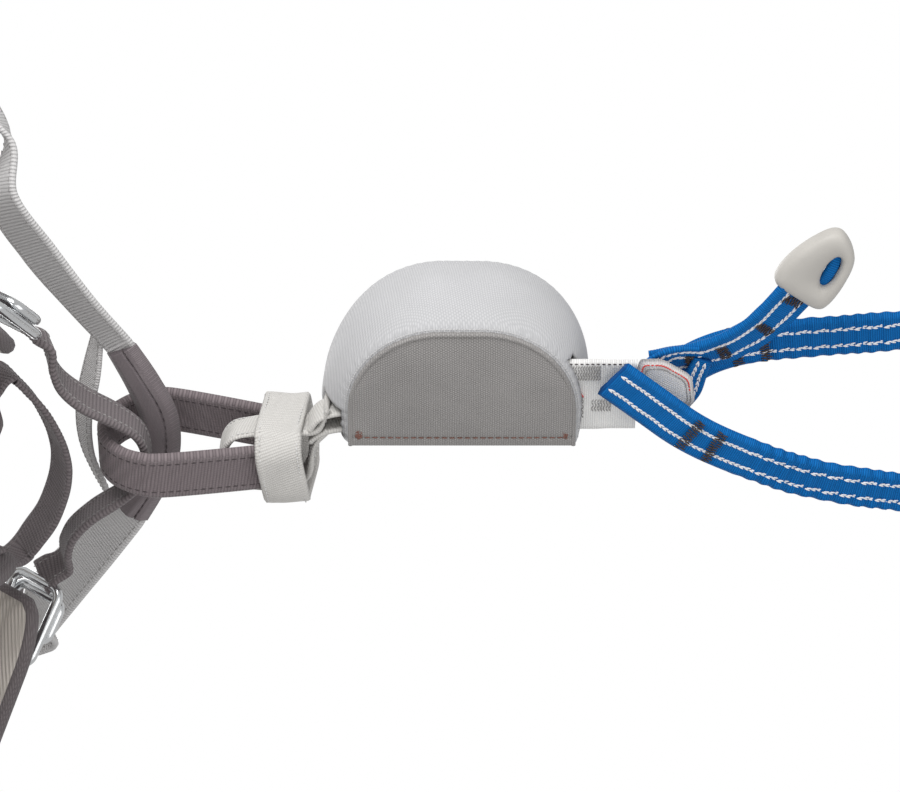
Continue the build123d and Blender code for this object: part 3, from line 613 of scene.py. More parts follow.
def make_arm(name, route, rise, thick, tacks, spread, doubled, lean=(0.0, 0.0)):
    """One elastic arm: its gathered webbing, tracers and bar tacks."""
    points = even_points(spline_points(name + "_line", route, rise), 0.0006)
    rows = leaned(flat_rows(points, ARM_WIDTH), *lean)
    relief, edge = gathered(doubled)
    made = place_piece(strap(name + "_webbing", rows, thick, "blue_web", relief=relief, edge=edge,
                             samples=16),
                       name, [name])
    trail = [made, tracers(name + "_tracers", rows, thick, name, relief)]
    threads = []
    for index, run_at in enumerate(tacks):
        for face in (1, -1):
            threads += bar_tack(rows, run_at, face, thick + 0.0006, round(34 * spread), spread, index, 0.0010)
    trail.append(sew(name + "_bar_tacks", threads, (0.0028, 0.00065, 0.0007), "dark_thread", name))
    return points, trail


def make_arms():
    """Both long arms and the short tail."""
    near_points, near_parts = make_arm("near_arm", NEAR_ROUTE, NEAR_RISE, 0.0042, (0.0405, 0.052, 0.262), 0.8,
                                       0.062)
    far_points, far_parts = make_arm("far_arm", FAR_ROUTE, FAR_RISE, 0.0042, (0.034, 0.046, 0.232), 0.8,
                                     0.036)
    make_arm("stub_arm", STUB_ROUTE, STUB_RISE, 0.0036, (0.016, 0.030, 0.049, 0.066), 0.42, 0.2, (27, 14))
    cords = (("near", near_points, near_parts), ("far", far_points, far_parts))
    for side, points, parts in cords:
        line = points[::4] + [points[-1]] if (len(points) - 1) % 4 else points[::4]
        length = sum((b - a).length for a, b in zip(line, line[1:]))
        tuple(points[0])
        [tuple(p) for p in line]


# ---------------------------------------------------------------- harness straps

WAIST_DEPTH = 98 * MM
WAIST_WIDTH = 160 * MM
HIP_RADIUS = 90 * MM
BELT_OUT = 10 * MM
BELT_HEIGHT = 76 * MM
BELT_END_HEIGHT = 50 * MM
STRAP_Z = -6 * MM
LEG_RADIUS = 80 * MM
LEG_TILT = math.radians(50)
LEG_CENTRE = Vector((0.003, 0.092, -0.1816))
LEG_TIP = Vector((0.143, 0.047))
LEG_TIP_ROUND = 14 * MM
LEG_OUT = 8.1 * MM
BELAY_X = 150.7 * MM
RIB = 0.0014


def place_piece(made, body, nodes=()):
    """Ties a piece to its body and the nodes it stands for."""
    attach(made, body)
    if nodes:
        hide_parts(*nodes)
    return made


def mirrored(marks):
    """Stations on the other side of the harness."""
    return [(Vector((p.x, -p.y, p.z)), Vector((w.x, -w.y, w.z))) for p, w in marks]


def whole(half):
    """Half a strap joined to its mirror image, with width vectors that keep one sense."""
    return half + mirrored(half)[::-1]


def hip_y(x, out):
    """How far out the belt's right hip is at x."""
    return -(WAIST_WIDTH - HIP_RADIUS) - math.sqrt((HIP_RADIUS + out) ** 2 - x ** 2)


def ribs(pitch, depth, border=0.84):
    """Raised cross ribs between two flat edges."""
    def relief(run, side):
        inside = min(1.0, max(0.0, (border - abs(side)) / 0.06))
        wave = 0.5 - 0.5 * math.cos(2 * math.pi * run / pitch)
        return depth * wave * inside + depth * 0.7 * (1 - inside)
    return relief


def edge_seams(name, rows, thick, body, finish, sides=(-0.86, 0.86), pitch=0.0034, faces=(1, -1),
               size=SEAM_THREAD):
    """Lines of stitches along a strap's edges."""
    anchors = []
    for face in faces:
        for side in sides:
            anchors += row_of_stitches(rows, side, face, pitch, thick + 0.0001)
    return sew(name, anchors, size, finish, body)


def front_stations():
    """The right front strap, from under its buckle at the hip to inside the tie-in sleeve."""
    out = BELT_OUT + 2.2 * MM
    return [
        (Vector((34 * MM, hip_y(34 * MM, out), STRAP_Z)), wide(0, 0, 25)),
        (Vector((54 * MM, hip_y(54 * MM, out), STRAP_Z)), wide(0, 0, 25)),
        (Vector((71 * MM, hip_y(71 * MM, out + 1.5 * MM), STRAP_Z - 4 * MM)), wide(-1, 1, 25)),
    ] + stations((91.5, -124, 36, -5, 5, 23), (91, -104, 20, -13, 13, 16), (104, -82, 15, -15, 13, 13),
                 (120, -60, 11, -14, 10, 12), (134, -42.5, 8.5, -13, 6, 6),
                 (136, -39.5, 7.5, -10.5, 6.4, 2.8))


def make_front_straps():
    """Both front straps, with edge seams and a round tack."""
    for side, marks in (("right", front_stations()), ("left", mirrored(front_stations()))):
        rows = smooth_rows(marks, 0.0004)
        place_piece(strap(f"waist_strap_{side}", rows, 0.0021, "light_ribbed", relief=ribs(RIB, 0.00032),
                          samples=12),
                    "harness", [f"front_strap_{side}"])
        edge_seams(f"waist_strap_seam_{side}", rows, 0.0024, "harness", "grey_thread", pitch=0.0032)
        spot = 0.058
        threads = []
        for line in range(-5, 6):
            angle = line / 5.5
            reach = 0.8 * math.sqrt(1 - angle ** 2)
            for face in (1, -1):
                threads += bar_tack(rows, spot + angle * 0.0045, face, 0.0032, max(4, round(26 * reach)),
                                    reach,
                                    line + 9, 0.0004)
        sew(f"waist_strap_tack_{side}", threads, (0.002, 0.0009, 0.0008), "dark_thread", "harness")


def make_sleeve():
    """The tie-in's folded sleeve and the strap behind it."""
    half = stations(
        (135.5, -41, 7.6, -12, 8, 3), (143.5, -25, 6.4, -14, 6, 1), (149, -9, 6.2, -16, 2, 0))
    rows = smooth_rows(whole(half), 0.001)
    rng = random.Random(4)
    folds = [(rng.uniform(0.0, 0.09), rng.uniform(-0.6, 0.6), rng.uniform(0.0002, 0.0006)) for _ in range(14)]

    def folded(run, side):
        crown = 0.0005 * (1 - side ** 2)
        crease = -0.0012 * math.exp(-((side + 0.42) / 0.07) ** 2)
        soft = sum(depth * math.exp(-((run - at) / 0.006) ** 2 - ((side - lean) / 0.35) ** 2) for at, lean,
                   depth in folds)
        return crown + crease + soft

    place_piece(strap("tie_in_sleeve_cloth", rows, 0.0066, "sleeve", relief=folded, samples=22),
                "harness", ["tie_in_sleeve"])
    edge_seams("tie_in_sleeve_seam", rows, 0.0072, "harness", "seam_thread", sides=(-0.56,), pitch=0.003)
    back = stations(
        (125.3, -44, 20.5, 3, 0, -8), (122, -27, 13, 7, 0, -14), (118, -9, 10, 7, 0, -14))
    rows = smooth_rows(whole(back), 0.0005)
    place_piece(strap("tie_in_back_webbing", rows, 0.0016, "twill", relief=ribs(0.0012, 0.0002), samples=12),
                "harness", ["tie_in_back_strap"])
    edge_seams("tie_in_back_seam", rows, 0.0019, "harness", "grey_thread", pitch=0.0026)


def make_bridge():
    """The two layers of webbing that join the leg loops."""
    front = stations(
        (97.5, -62.5, -9.6, -13, 0, 12), (101.5, -59.2, -9.3, -11, 0, 14), (108, -54.5, -9, -6, 0, 17),
        (109, -46, -10.5, -4, 0, 18), (112.5, -37, -11, -2, 0, 18), (121, -28, -10.5, 0, 0, 18),
        (132, -20.5, -9.5, 0, 0, 17), (141, -13, -9, 0, 0, 15), (144.5, -5, -9, 0, 0, 15))
    rows = smooth_rows(whole(front), 0.0004)
    place_piece(strap("leg_bridge_webbing", rows, 0.0025, "dark_rib", relief=ribs(0.0017, 0.0003, 0.72),
                      samples=12),
                "harness", ["leg_bridge_front"])
    edge_seams("leg_bridge_seam", rows, 0.0028, "harness", "edge_thread", sides=(-0.9, 0.9), pitch=0.0019,
               size=EDGE_THREAD)
    edge_seams("leg_bridge_inner_seam", rows, 0.0028, "harness", "grey_thread", sides=(-0.74, 0.74),
               pitch=0.0024,
               size=(0.0018, 0.0005, 0.0005))
    back = stations(
        (83.5, -41.3, -28, -10.5, 0, 9), (85.5, -42.5, -24.3, -10.5, 0, 9), (88.5, -44.6, -18.5, -9.5, 0, 12),
        (91.5, -43.6, -14, -8.5, 0, 15), (96.5, -37, -13, -9, 0, 16), (103, -27, -12.5, -9, 0, 16),
        (108, -14, -12, -9, 0, 16), (110, -4, -12, -9, 0, 16))
    rows = smooth_rows(whole(back), 0.0004)
    place_piece(strap("leg_bridge_back_webbing", rows, 0.0021, "dark_rib", relief=ribs(0.0017, 0.0003, 0.6),
                      samples=12),
                "harness", ["leg_bridge_back"])
    edge_seams("leg_bridge_back_seam", rows, 0.0024, "harness", "edge_thread", sides=(-0.92, 0.92, 0.7),
               pitch=0.0019,
               size=EDGE_THREAD)


def make_belay_loop():
    """The sewn ring of webbing: two round ends joined by straight runs."""
    big, small, drop = 24 * MM, 15 * MM, 3 * MM
    reach = Vector((189 * MM - BELAY_X, -drop))
    lean = math.atan2(reach.y, reach.x)
    spread = math.acos((big - small) / reach.length)
    outline = []
    for step in range(9):
        angle = lean + spread + (2 * math.pi - 2 * spread) * step / 8
        outline.append((big * math.cos(angle), big * math.sin(angle)))
    for step in range(7):
        angle = lean - spread + 2 * spread * step / 6
        outline.append((reach.x + small * math.cos(angle), reach.y + small * math.sin(angle)))
    placed = [(Vector((BELAY_X + x, 0, TIE_Z + z)), wide(0, 22, 0)) for x, z in outline]
    rows = smooth_rows(placed, 0.0004, closed=True)
    place_piece(strap("belay_loop_webbing", rows, 0.0042, "dark_web", closed=True,
                      relief=ribs(0.0016, 0.00036, 0.74), samples=14),
                "belay", ["belay_loop"])
    edge_seams("belay_loop_seam", rows, 0.0044, "belay", "seam_thread", sides=(-0.76, 0.76), pitch=0.0031,
               size=(0.0026, 0.0007, 0.0006))
    edge_seams("belay_loop_edge", rows, 0.0043, "belay", "edge_thread", sides=(-0.93, 0.93), pitch=0.0014,
               size=(0.0013, 0.0006, 0.0004))


def rounded_box_line(half_wide, low, high, corner):
    """Corner and middle points of a rounded rectangle, in order."""
    points = []
    for cx, cz, start in ((half_wide, high, 0), (-half_wide, high, 90), (-half_wide, low, 180),
                          (half_wide, low, 270)):
        middle_x = cx - math.copysign(corner, cx)
        middle_z = cz - corner if cz == high else cz + corner
        for turn in (0, 30, 60, 90):
            angle = math.radians(start + turn)
            points.append((middle_x + corner * math.cos(angle), middle_z + corner * math.sin(angle)))
    return points


def make_girth():
    """The lanyard's own loop: a wrap round the belay loop and two layers through it."""
    line = rounded_box_line(16.5, -25.0, 18.0, 11.0)
    placed = []
    for y, z in line:
        shift = 1.5 * math.sin(y / 9.0) + (-1.5 if z < -10 else 1.0)
        placed.append((tie(202.5 + shift, y, z), wide(19, 0, 0)))
    rows = smooth_rows(placed, 0.0006, closed=True)
    soft = ribs(0.0011, 0.00012, 0.9)
    place_piece(strap("girth_wrap_webbing", rows, 0.0019, "pale_web", closed=True, relief=lambda run,
                      side: soft(run, side) + 0.0004 * math.sin(run * 260 + side * 2.2), samples=14),
                "belay", ["girth_wrap"])
    edge_seams("girth_wrap_seam", rows, 0.0021, "belay", "light_thread", sides=(-0.9, 0.9), pitch=0.0016,
               size=FINE_THREAD)
    outline = [(219.5, -25.5), (215.4, -15.4), (205, -13.8), (189, -13.2), (180, -10.4), (175.8, 0),
               (180, 10.4),
                (189, 13.2), (204, 13.0), (211, 7), (213.6, -7), (219.5, -15.5)]
    placed = [(tie(x, y, -8), wide(0, 0, 15 - 0.5 * (index % 2))) for index, (x, y) in enumerate(outline)]
    rows = smooth_rows(placed, 0.0006)
    place_piece(strap("girth_loop_webbing", rows, 0.0018, "pale_web", relief=lambda run,
                      side: soft(run, side) + 0.0003 * math.sin(run * 330 + side * 3), samples=12),
                "belay", ["girth_loop"])
    edge_seams("girth_loop_seam", rows, 0.002, "belay", "light_thread", sides=(-0.88, 0.88), pitch=0.0016,
               size=FINE_THREAD)


def make_mouth_strands():
    """The two layers of the girth webbing between the hitch and the pouch."""
    relief = ribs(0.0011, 0.00012, 0.9)
    for name, lines in (("near", ((212, -9.5), (217, -13.6), (224, -15.6), (234, -16.0), (244, -16.0))),
                        ("far", ((212, -15.0), (216, -20.5), (223, -23.2), (234, -24.0), (244, -24.0)))):
        rows = smooth_rows([(tie(x, y, -8), wide(0, 0, 14.6)) for x, y in lines], 0.0006)
        made = strap(f"mouth_strand_{name}", rows, 0.0018, "pale_web", relief=relief, samples=12)
        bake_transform(made)


# ---------------------------------------------------------------- padded belt and leg loops

def arc_line(centre, radius, start, stop, step=0.003):
    """Points on an arc between two bearings in degrees."""
    count = max(2, round(abs(math.radians(stop - start)) * radius / step))
    points = []
    for index in range(count + 1):
        angle = math.radians(start + (stop - start) * index / count)
        points.append(Vector((centre[0] + radius * math.cos(angle), centre[1] + radius * math.sin(angle))))
    return points


def belt_line(out, front):
    """The belt's line, out beyond its opening, from its right front end at this bearing to its left one."""
    side = WAIST_WIDTH - HIP_RADIUS
    flat = (side ** 2 + WAIST_DEPTH ** 2 - HIP_RADIUS ** 2) / (2 * (WAIST_DEPTH - HIP_RADIUS))
    join = math.degrees(math.atan2(side, flat - WAIST_DEPTH))
    right = arc_line((0, -side), HIP_RADIUS + out, -front, -180 + join)
    back = arc_line((flat - WAIST_DEPTH, 0), flat + out, 180 + join, 180 - join)
    left = arc_line((0, side), HIP_RADIUS + out, 180 - join, front)
    return (right + back[1:-1] + left)[::-1]


def belt_height(x):
    """The belt is lower towards its front ends."""
    share = max(0.0, (x - 0.02) / 0.138)
    return BELT_HEIGHT - (BELT_HEIGHT - BELT_END_HEIGHT) * share


def leg_line(out):
    """A right leg loop's line in its own plane, out beyond its opening, from its inner end to its outer one."""
    reach = LEG_TIP.length
    lean = math.atan2(LEG_TIP.y, LEG_TIP.x)
    inset = reach - LEG_TIP_ROUND / (LEG_RADIUS / reach)
    spread = math.acos((LEG_RADIUS - LEG_TIP_ROUND) / inset)
    centre = Vector((inset * math.cos(lean), inset * math.sin(lean)))
    small = LEG_TIP_ROUND + out
    ends = [centre + Vector((small * math.cos(lean + turn),
                             small * math.sin(lean + turn))) for turn in (spread, -spread)]
    ring = arc_line((0, 0), LEG_RADIUS + out, math.degrees(lean + spread), math.degrees(lean - spread) + 360)
    runs = []
    for first, second in ((ends[0], ring[0]), (ring[-1], ends[1])):
        count = round((second - first).length / 0.003)
        runs.append([first.lerp(second, index / count) for index in range(count + 1)])
    return runs[0][:-1] + ring + runs[1][1:]


def leg_height(x):
    """A leg pad is lower towards its tip."""
    share = max(0.0, (x - 0.01) / 0.153)
    return 0.058 - 0.034 * share


def leg_space(side):
    """Turns a leg loop's own plane into the frame. side is -1 for the right leg."""
    forward = Vector((math.cos(LEG_TILT), 0, math.sin(LEG_TILT)))
    normal = Vector((-math.sin(LEG_TILT), 0, math.cos(LEG_TILT)))
    origin = Vector((LEG_CENTRE.x, side * LEG_CENTRE.y, LEG_CENTRE.z))

    def turn(point, rise=0.0):
        return origin + forward * point.x + Vector((0, 1, 0)) * (-side * point.y) + normal * rise
    return turn


def slab(name, outer, inner, finish, present=None):
    """A closed piece between two grids of points in rows and columns. present(row, col) leaves openings."""
    tall, broad = len(outer), len(outer[0])
    points = [point for row in outer for point in row] + [point for row in inner for point in row]
    half = tall * broad
    kept = {(i, j) for i in range(tall - 1) for j in range(broad - 1) if present is None or present(i, j)}
    faces = []
    for i, j in sorted(kept):
        a, b, c, d = i * broad + j, i * broad + j + 1, (i + 1) * broad + j + 1, (i + 1) * broad + j
        faces.append((a, b, c, d))
        faces.append((a + half, d + half, c + half, b + half))
        for other, first, second in (((i - 1, j), a, b), ((i, j + 1), b, c), ((i + 1, j), c, d),
                                     ((i, j - 1), d, a)):
            if other not in kept:
                faces.append((second, first, first + half, second + half))
    made = link_mesh(name, points, faces)
    made.data.materials.append(MAT[finish])
    return outward(made)


def outward(made):
    """Drops unused points of a closed piece, merges doubles and turns every face outwards."""
    grid = bmesh.new()
    grid.from_mesh(made.data)
    bmesh.ops.delete(grid, geom=[v for v in grid.verts if not v.link_faces], context="VERTS")
    bmesh.ops.remove_doubles(grid, verts=grid.verts, dist=0.000001)
    bmesh.ops.recalc_face_normals(grid, faces=grid.faces)
    grid.to_mesh(made.data)
    grid.free()
    for polygon in made.data.polygons:
        polygon.use_smooth = True
    return made


def beside(line, index):
    """The way out of a pad's line at one of its points."""
    along = direction(line, index)
    return Vector((along.y, -along.x))


def pad_grid(line, height_at, turn, out, crown, grooves=0.0, columns=22, inset=0.0):
    """Points of a pad's face: along its line and across its height, raised by crown in the middle."""
    grid = []
    last = len(line) - 1
    for index, point in enumerate(line):
        normal = beside(line, index)
        end = min(1.0, min(index, last - index) / 9.0)
        round_end = math.sqrt(max(0.0, 1 - (1 - end) ** 2))
        high = (height_at(point.x) - 2 * inset) * (0.45 + 0.55 * round_end)
        row = []
        for col in range(columns + 1):
            side = -1 + 2 * col / columns
            body = (1 - abs(side) ** 4) * round_end
            quilt = grooves * (abs(math.sin(math.pi * side * 2.5)) ** 0.6 - 1) * body
            row.append(turn(point + normal * (out + crown * body + quilt), side * high / 2))
        grid.append(row)
    return grid


def flat_turn(point, rise=0.0):
    """The belt's plane is the frame's own level plane."""
    return Vector((point.x, point.y, rise))


def make_pad(name, line, height_at, turn, thick, nodes, body):
    """Cover, foam core and mesh lining of one padded band, with binding round its rim."""
    outer = pad_grid(line, height_at, turn, thick - 0.0012, 0.0022, 0.0011)
    middle = pad_grid(line, height_at, turn, thick - 0.0026, 0.0020, inset=0.0004)
    cover = slab(f"{name}_cover_cloth", outer, middle, "pad_dark")
    place_piece(cover, body, [nodes[0]])
    inner = pad_grid(line, height_at, turn, 0.0001, -0.0012, 0.0, inset=0.0002)
    under = pad_grid(line, height_at, turn, 0.0016, -0.0010, inset=0.0004)
    lining = slab(f"{name}_lining_mesh", under, inner, "pad_mesh")
    place_piece(lining, body, [nodes[1]])
    core_out = pad_grid(line, height_at, turn, thick - 0.0029, 0.0019, inset=0.001)
    core_in = pad_grid(line, height_at, turn, 0.0019, -0.0009, inset=0.001)
    core = slab(f"{name}_core_foam", core_out, core_in, "foam")
    place_piece(core, body, [nodes[2]])
    rims = list(zip(outer, inner))
    low, high = ([(a[side] + b[side]) / 2 for a, b in rims] for side in (0, -1))
    start, stop = ([(a + b) / 2 for a, b in zip(*rims[end])][1:-1] for end in (0, -1))
    ring = low + stop + high[::-1] + start[::-1]
    tube(f"{name}_binding", even_points(ring + [ring[0]], 0.002)[:-1], thick * 0.43, "pad_dark", body,
         closed=True)


def tube(name, points, radius, finish, body, closed=False, samples=10):
    """A round cord of folded cloth along a seam, closed at both ends, or all round a rim."""
    count = len(points)
    grid, faces = [], []
    first = Vector((0, 0, 1))
    for index, place in enumerate(points):
        along = direction(points, index, closed)
        first = first - along * first.dot(along)
        first = first.normalized() if first.length > 1e-6 else along.orthogonal().normalized()
        second = along.cross(first)
        for step in range(samples):
            angle = 2 * math.pi * step / samples
            grid.append(place + (first * math.cos(angle) + second * math.sin(angle)) * radius)
    for row in range(count if closed else count - 1):
        after = (row + 1) % count
        shift = 0 if after else min(range(samples), key=lambda s: (grid[s] - grid[row * samples]).length)
        for step in range(samples):
            following = (step + 1) % samples
            faces.append((row * samples + step, row * samples + following,
                          after * samples + (following + shift) % samples,
                          after * samples + (step + shift) % samples))
    if not closed:
        faces += [tuple(range(samples))[::-1], tuple(range((count - 1) * samples, count * samples))]
    made = link_mesh(name, grid, faces)
    made.data.materials.append(MAT[finish])
    return place_piece(outward(made), body)


def band_rows(line, turn, out, width, rise=0.0):
    """Rows of a webbing laid on a pad's face."""
    rows = []
    for index, point in enumerate(line):
        middle = point + beside(line, index) * out
        rows.append((turn(middle, rise), turn(middle, rise + width) - turn(middle, rise)))
    return smooth_rows(rows, 0.0005)


def part_line(line, keep):
    """The points of a line that keep picks."""
    return [point for point in line if keep(point)]


def make_belt():
    """The padded belt, the webbing round it and the strap tails."""
    line = belt_line(0.0, 40)
    make_pad("waist", line, belt_height, flat_turn, BELT_OUT, ("waist_cover", "waist_lining", "waist_foam"),
             "harness")
    webbing = part_line(line, lambda p: p.x < 0.02)
    rows = band_rows(webbing, flat_turn, BELT_OUT + 1.6 * MM, 0.025, STRAP_Z)
    place_piece(strap("waist_band_webbing", rows, 0.0021, "light_ribbed", relief=ribs(RIB, 0.0003),
                      samples=10),
                "harness", ["waist_webbing"])
    edge_seams("waist_band_seam", rows, 0.0024, "harness", "grey_thread")
    tails = []
    for side in (-1, 1):
        tail = part_line(line, lambda p: p.x < 0.016 and p.x > -0.062 and p.y * side > 0)
        rows = band_rows(tail, flat_turn, BELT_OUT + 4.0 * MM, 0.023, STRAP_Z)
        tails.append(strap(f"waist_tail_{side}", rows, 0.0017, "light_ribbed", relief=ribs(RIB, 0.0002),
                           samples=10))
    merge("waist_tail_webbing", tails, "harness", ["waist_tails"])


def merge(name, pieces, body, nodes):
    """Joins plain pieces into one that stands for a shared node."""
    grid = bmesh.new()
    for piece in pieces:
        grid.from_mesh(piece.data)
    mesh = bpy.data.meshes.new(name)
    grid.to_mesh(mesh)
    grid.free()
    for polygon in mesh.polygons:
        polygon.use_smooth = True
    made = bpy.data.objects.new(name, mesh)
    mesh.materials.append(pieces[0].data.materials[0])
    for piece in pieces:
        bpy.data.objects.remove(piece)
    bpy.context.scene.collection.objects.link(made)
    return place_piece(made, body, nodes)


def make_leg_loops():
    """Both padded leg loops with their webbing and tails."""
    line = leg_line(0.0)
    tails = []
    for side, name in ((-1, "right"), (1, "left")):
        turn = leg_space(side)
        pad = part_line(line, lambda p: not (p.x > 0.125 and p.y > 0.037))
        make_pad(f"leg_{name}", pad, leg_height, turn, LEG_OUT,
                 (f"leg_cover_{name}", f"leg_lining_{name}", f"leg_foam_{name}"), "harness")
        webbing = part_line(line, lambda p: not (p.x > 0.121 and p.y > 0.012))
        rows = band_rows(webbing, turn, LEG_OUT + 1.4 * MM, 0.020)
        place_piece(strap(f"leg_band_webbing_{name}", rows, 0.0021, "dark_rib",
                          relief=ribs(0.0017, 0.0003, 0.72), samples=10),
                    "harness", [f"leg_webbing_{name}"])
        edge_seams(f"leg_band_seam_{name}", rows, 0.0024, "harness", "edge_thread", sides=(-0.9, 0.9),
                   pitch=0.0022,
                   size=(0.0017, 0.0007, 0.0005))
        tail = part_line(line, lambda p: -0.011 < p.x < 0.063 and p.y < -0.04)
        rows = band_rows(tail, turn, LEG_OUT + 3.8 * MM, 0.018)
        tails.append(strap(f"leg_tail_{name}", rows, 0.0017, "light_ribbed", relief=ribs(0.0012, 0.0002),
                           samples=10))
    merge("leg_tail_webbing", tails, "harness", ["leg_tails"])


# ---------------------------------------------------------------- pouch

POUCH_X = 227.8
POUCH_LENGTH = 92.0
POUCH_RISE = 53.7
POUCH_DEPTH = 54.0
POUCH_CORNER = 38.0
POUCH_Y = -11.8
POUCH_FRONT = -19.0


def pouch_edge(count=120):
    """The pouch's curved outline in plan from its left lower corner to its right one, with outward normals."""
    side, bend = POUCH_RISE - POUCH_CORNER, math.pi / 2 * POUCH_CORNER
    total = 2 * (side + bend) + POUCH_LENGTH - 2 * POUCH_CORNER
    points = []
    for index in range(count + 1):
        run = min(total * index / count, total - total * index / count)
        angle = math.pi + min(max((run - side) / POUCH_CORNER, 0.0), math.pi / 2)
        nx, ny = math.cos(angle), math.sin(angle)
        x = POUCH_X + POUCH_CORNER * (1 + nx) + max(run - side - bend, 0.0)
        y = POUCH_Y - min(run, side) + POUCH_CORNER * ny
        if index > count / 2:
            x, nx = 2 * POUCH_X + POUCH_LENGTH - x, -nx
        points.append((x, y, nx, ny))
    return points


def soft_dents(seed, count, spread, depth):
    """A function of two shares that gives the soft unevenness of stuffed cloth."""
    rng = random.Random(seed)
    dents = [(rng.random(), rng.random(), rng.uniform(0.5, 1.0) * rng.choice((-1, 1))) for _ in range(count)]

    def value(u, v):
        return depth * sum(way * math.exp(-((u - a) / spread) ** 2 - ((v - b) / (2.4 * spread)) ** 2) for a,
                           b, way in dents)
    return value


def make_gusset():
    """The pouch's curved side, swollen between its seams, with a mouth and a slot for the webbing."""
    edge = pouch_edge(150)
    columns = 26
    uneven = soft_dents(11, 16, 0.06, 0.7)
    outer, inner = [], []
    for row, (x, y, nx, ny) in enumerate(edge):
        u = row / (len(edge) - 1)
        line_out, line_in = [], []
        for col in range(columns + 1):
            v = col / columns
            full = math.sin(math.pi * v) ** 0.62
            ends = (0.2 + 0.8 * math.sqrt(min(1.0,
                                              u / 0.05))) * (0.35
                                                             + 0.65 * math.sqrt(min(1.0, (1 - u) / 0.08)))
            swell = 7.0 + 4.6 * math.exp(-((u - 0.04) / 0.13) ** 2) - 1.5 * math.exp(-((1 - u) / 0.15) ** 2)
            pucker = 0.28 * math.sin(u * 260) * (math.exp(-(v / 0.07) ** 2)
                                                 + math.exp(-((1 - v) / 0.07) ** 2))
            out = swell * full * ends + uneven(u, v) * full + pucker
            roll = 1.6 * math.exp(-(v / 0.03) ** 2) + 1.6 * math.exp(-((1 - v) / 0.03) ** 2)
            rise = POUCH_FRONT + POUCH_DEPTH * v
            line_out.append(tie(x + nx * (out - roll), y + ny * (out - roll), rise))
            line_in.append(tie(x + nx * (out - roll - 1.3), y + ny * (out - roll - 1.3), rise))
        outer.append(line_out)
        inner.append(line_in)

    def present(row, col):
        middle = (outer[row][col] + outer[row + 1][col + 1]) / 2
        x, y, rise = middle.x / MM, middle.y / MM, (middle.z - TIE_Z) / MM
        mouth = x < POUCH_X + 15 and -27.5 < y < -13.4 and -16.0 < rise < 0.0
        slot = x > POUCH_X + 77 and y > -50.0 and -15.2 < rise < -8.8
        return not (mouth or slot)

    made = slab("pouch_gusset_cloth", outer, inner, "pouch_light", present)
    place_piece(made, "pouch", ["pouch_gusset"])


def pouch_columns(count=64):
    """Places along the pouch, closer together at its rounded corners, with the outline's height there."""
    places = []
    for index in range(count + 1):
        share = 0.5 - 0.5 * math.cos(math.pi * index / count)
        x = POUCH_LENGTH * share
        beside = max(POUCH_CORNER - x, x - (POUCH_LENGTH - POUCH_CORNER), 0.0)
        places.append((x, POUCH_RISE - POUCH_CORNER + math.sqrt(max(0.0, POUCH_CORNER ** 2 - beside ** 2))))
    return places


def pouch_panel(name, level, face, finish, dome, seed, nodes):
    """A front or back panel, domed between its sewn edges."""
    rows = 44
    uneven = soft_dents(seed, 12, 0.12, 0.35)
    outer, inner = [], []
    for x, high in pouch_columns():
        line_out, line_in = [], []
        for row in range(rows + 1):
            share = 0.5 - 0.5 * math.cos(math.pi * row / rows)
            y = high * share
            side = min(x, POUCH_LENGTH - x)
            gap = min(high - y, y + 2.0, side + 1.5)
            swell = 1 - math.exp(-gap / 9.0)
            sunk = -0.5 * math.exp(-((y - 4.2) / 0.7) ** 2)
            out = dome * swell + uneven(x / POUCH_LENGTH, share) * swell + sunk
            line_out.append(tie(POUCH_X + x, POUCH_Y - y, level + face * out))
            line_in.append(tie(POUCH_X + x, POUCH_Y - y, level + face * (out - 1.3)))
        outer.append(line_out)
        inner.append(line_in)
    made = slab(name, outer, inner, finish)
    place_piece(made, "pouch", nodes)


def path_threads(points, out, pitch):
    """Anchors along a line on flat cloth that faces out."""
    anchors = []
    run = due = 0.0
    for first, second in zip(points, points[1:]):
        step = second - first
        run += step.length
        if run >= due and step.length > 0:
            anchors.append((second + out * 0.0002, step.normalized(), out))
            due = run + pitch
    return anchors


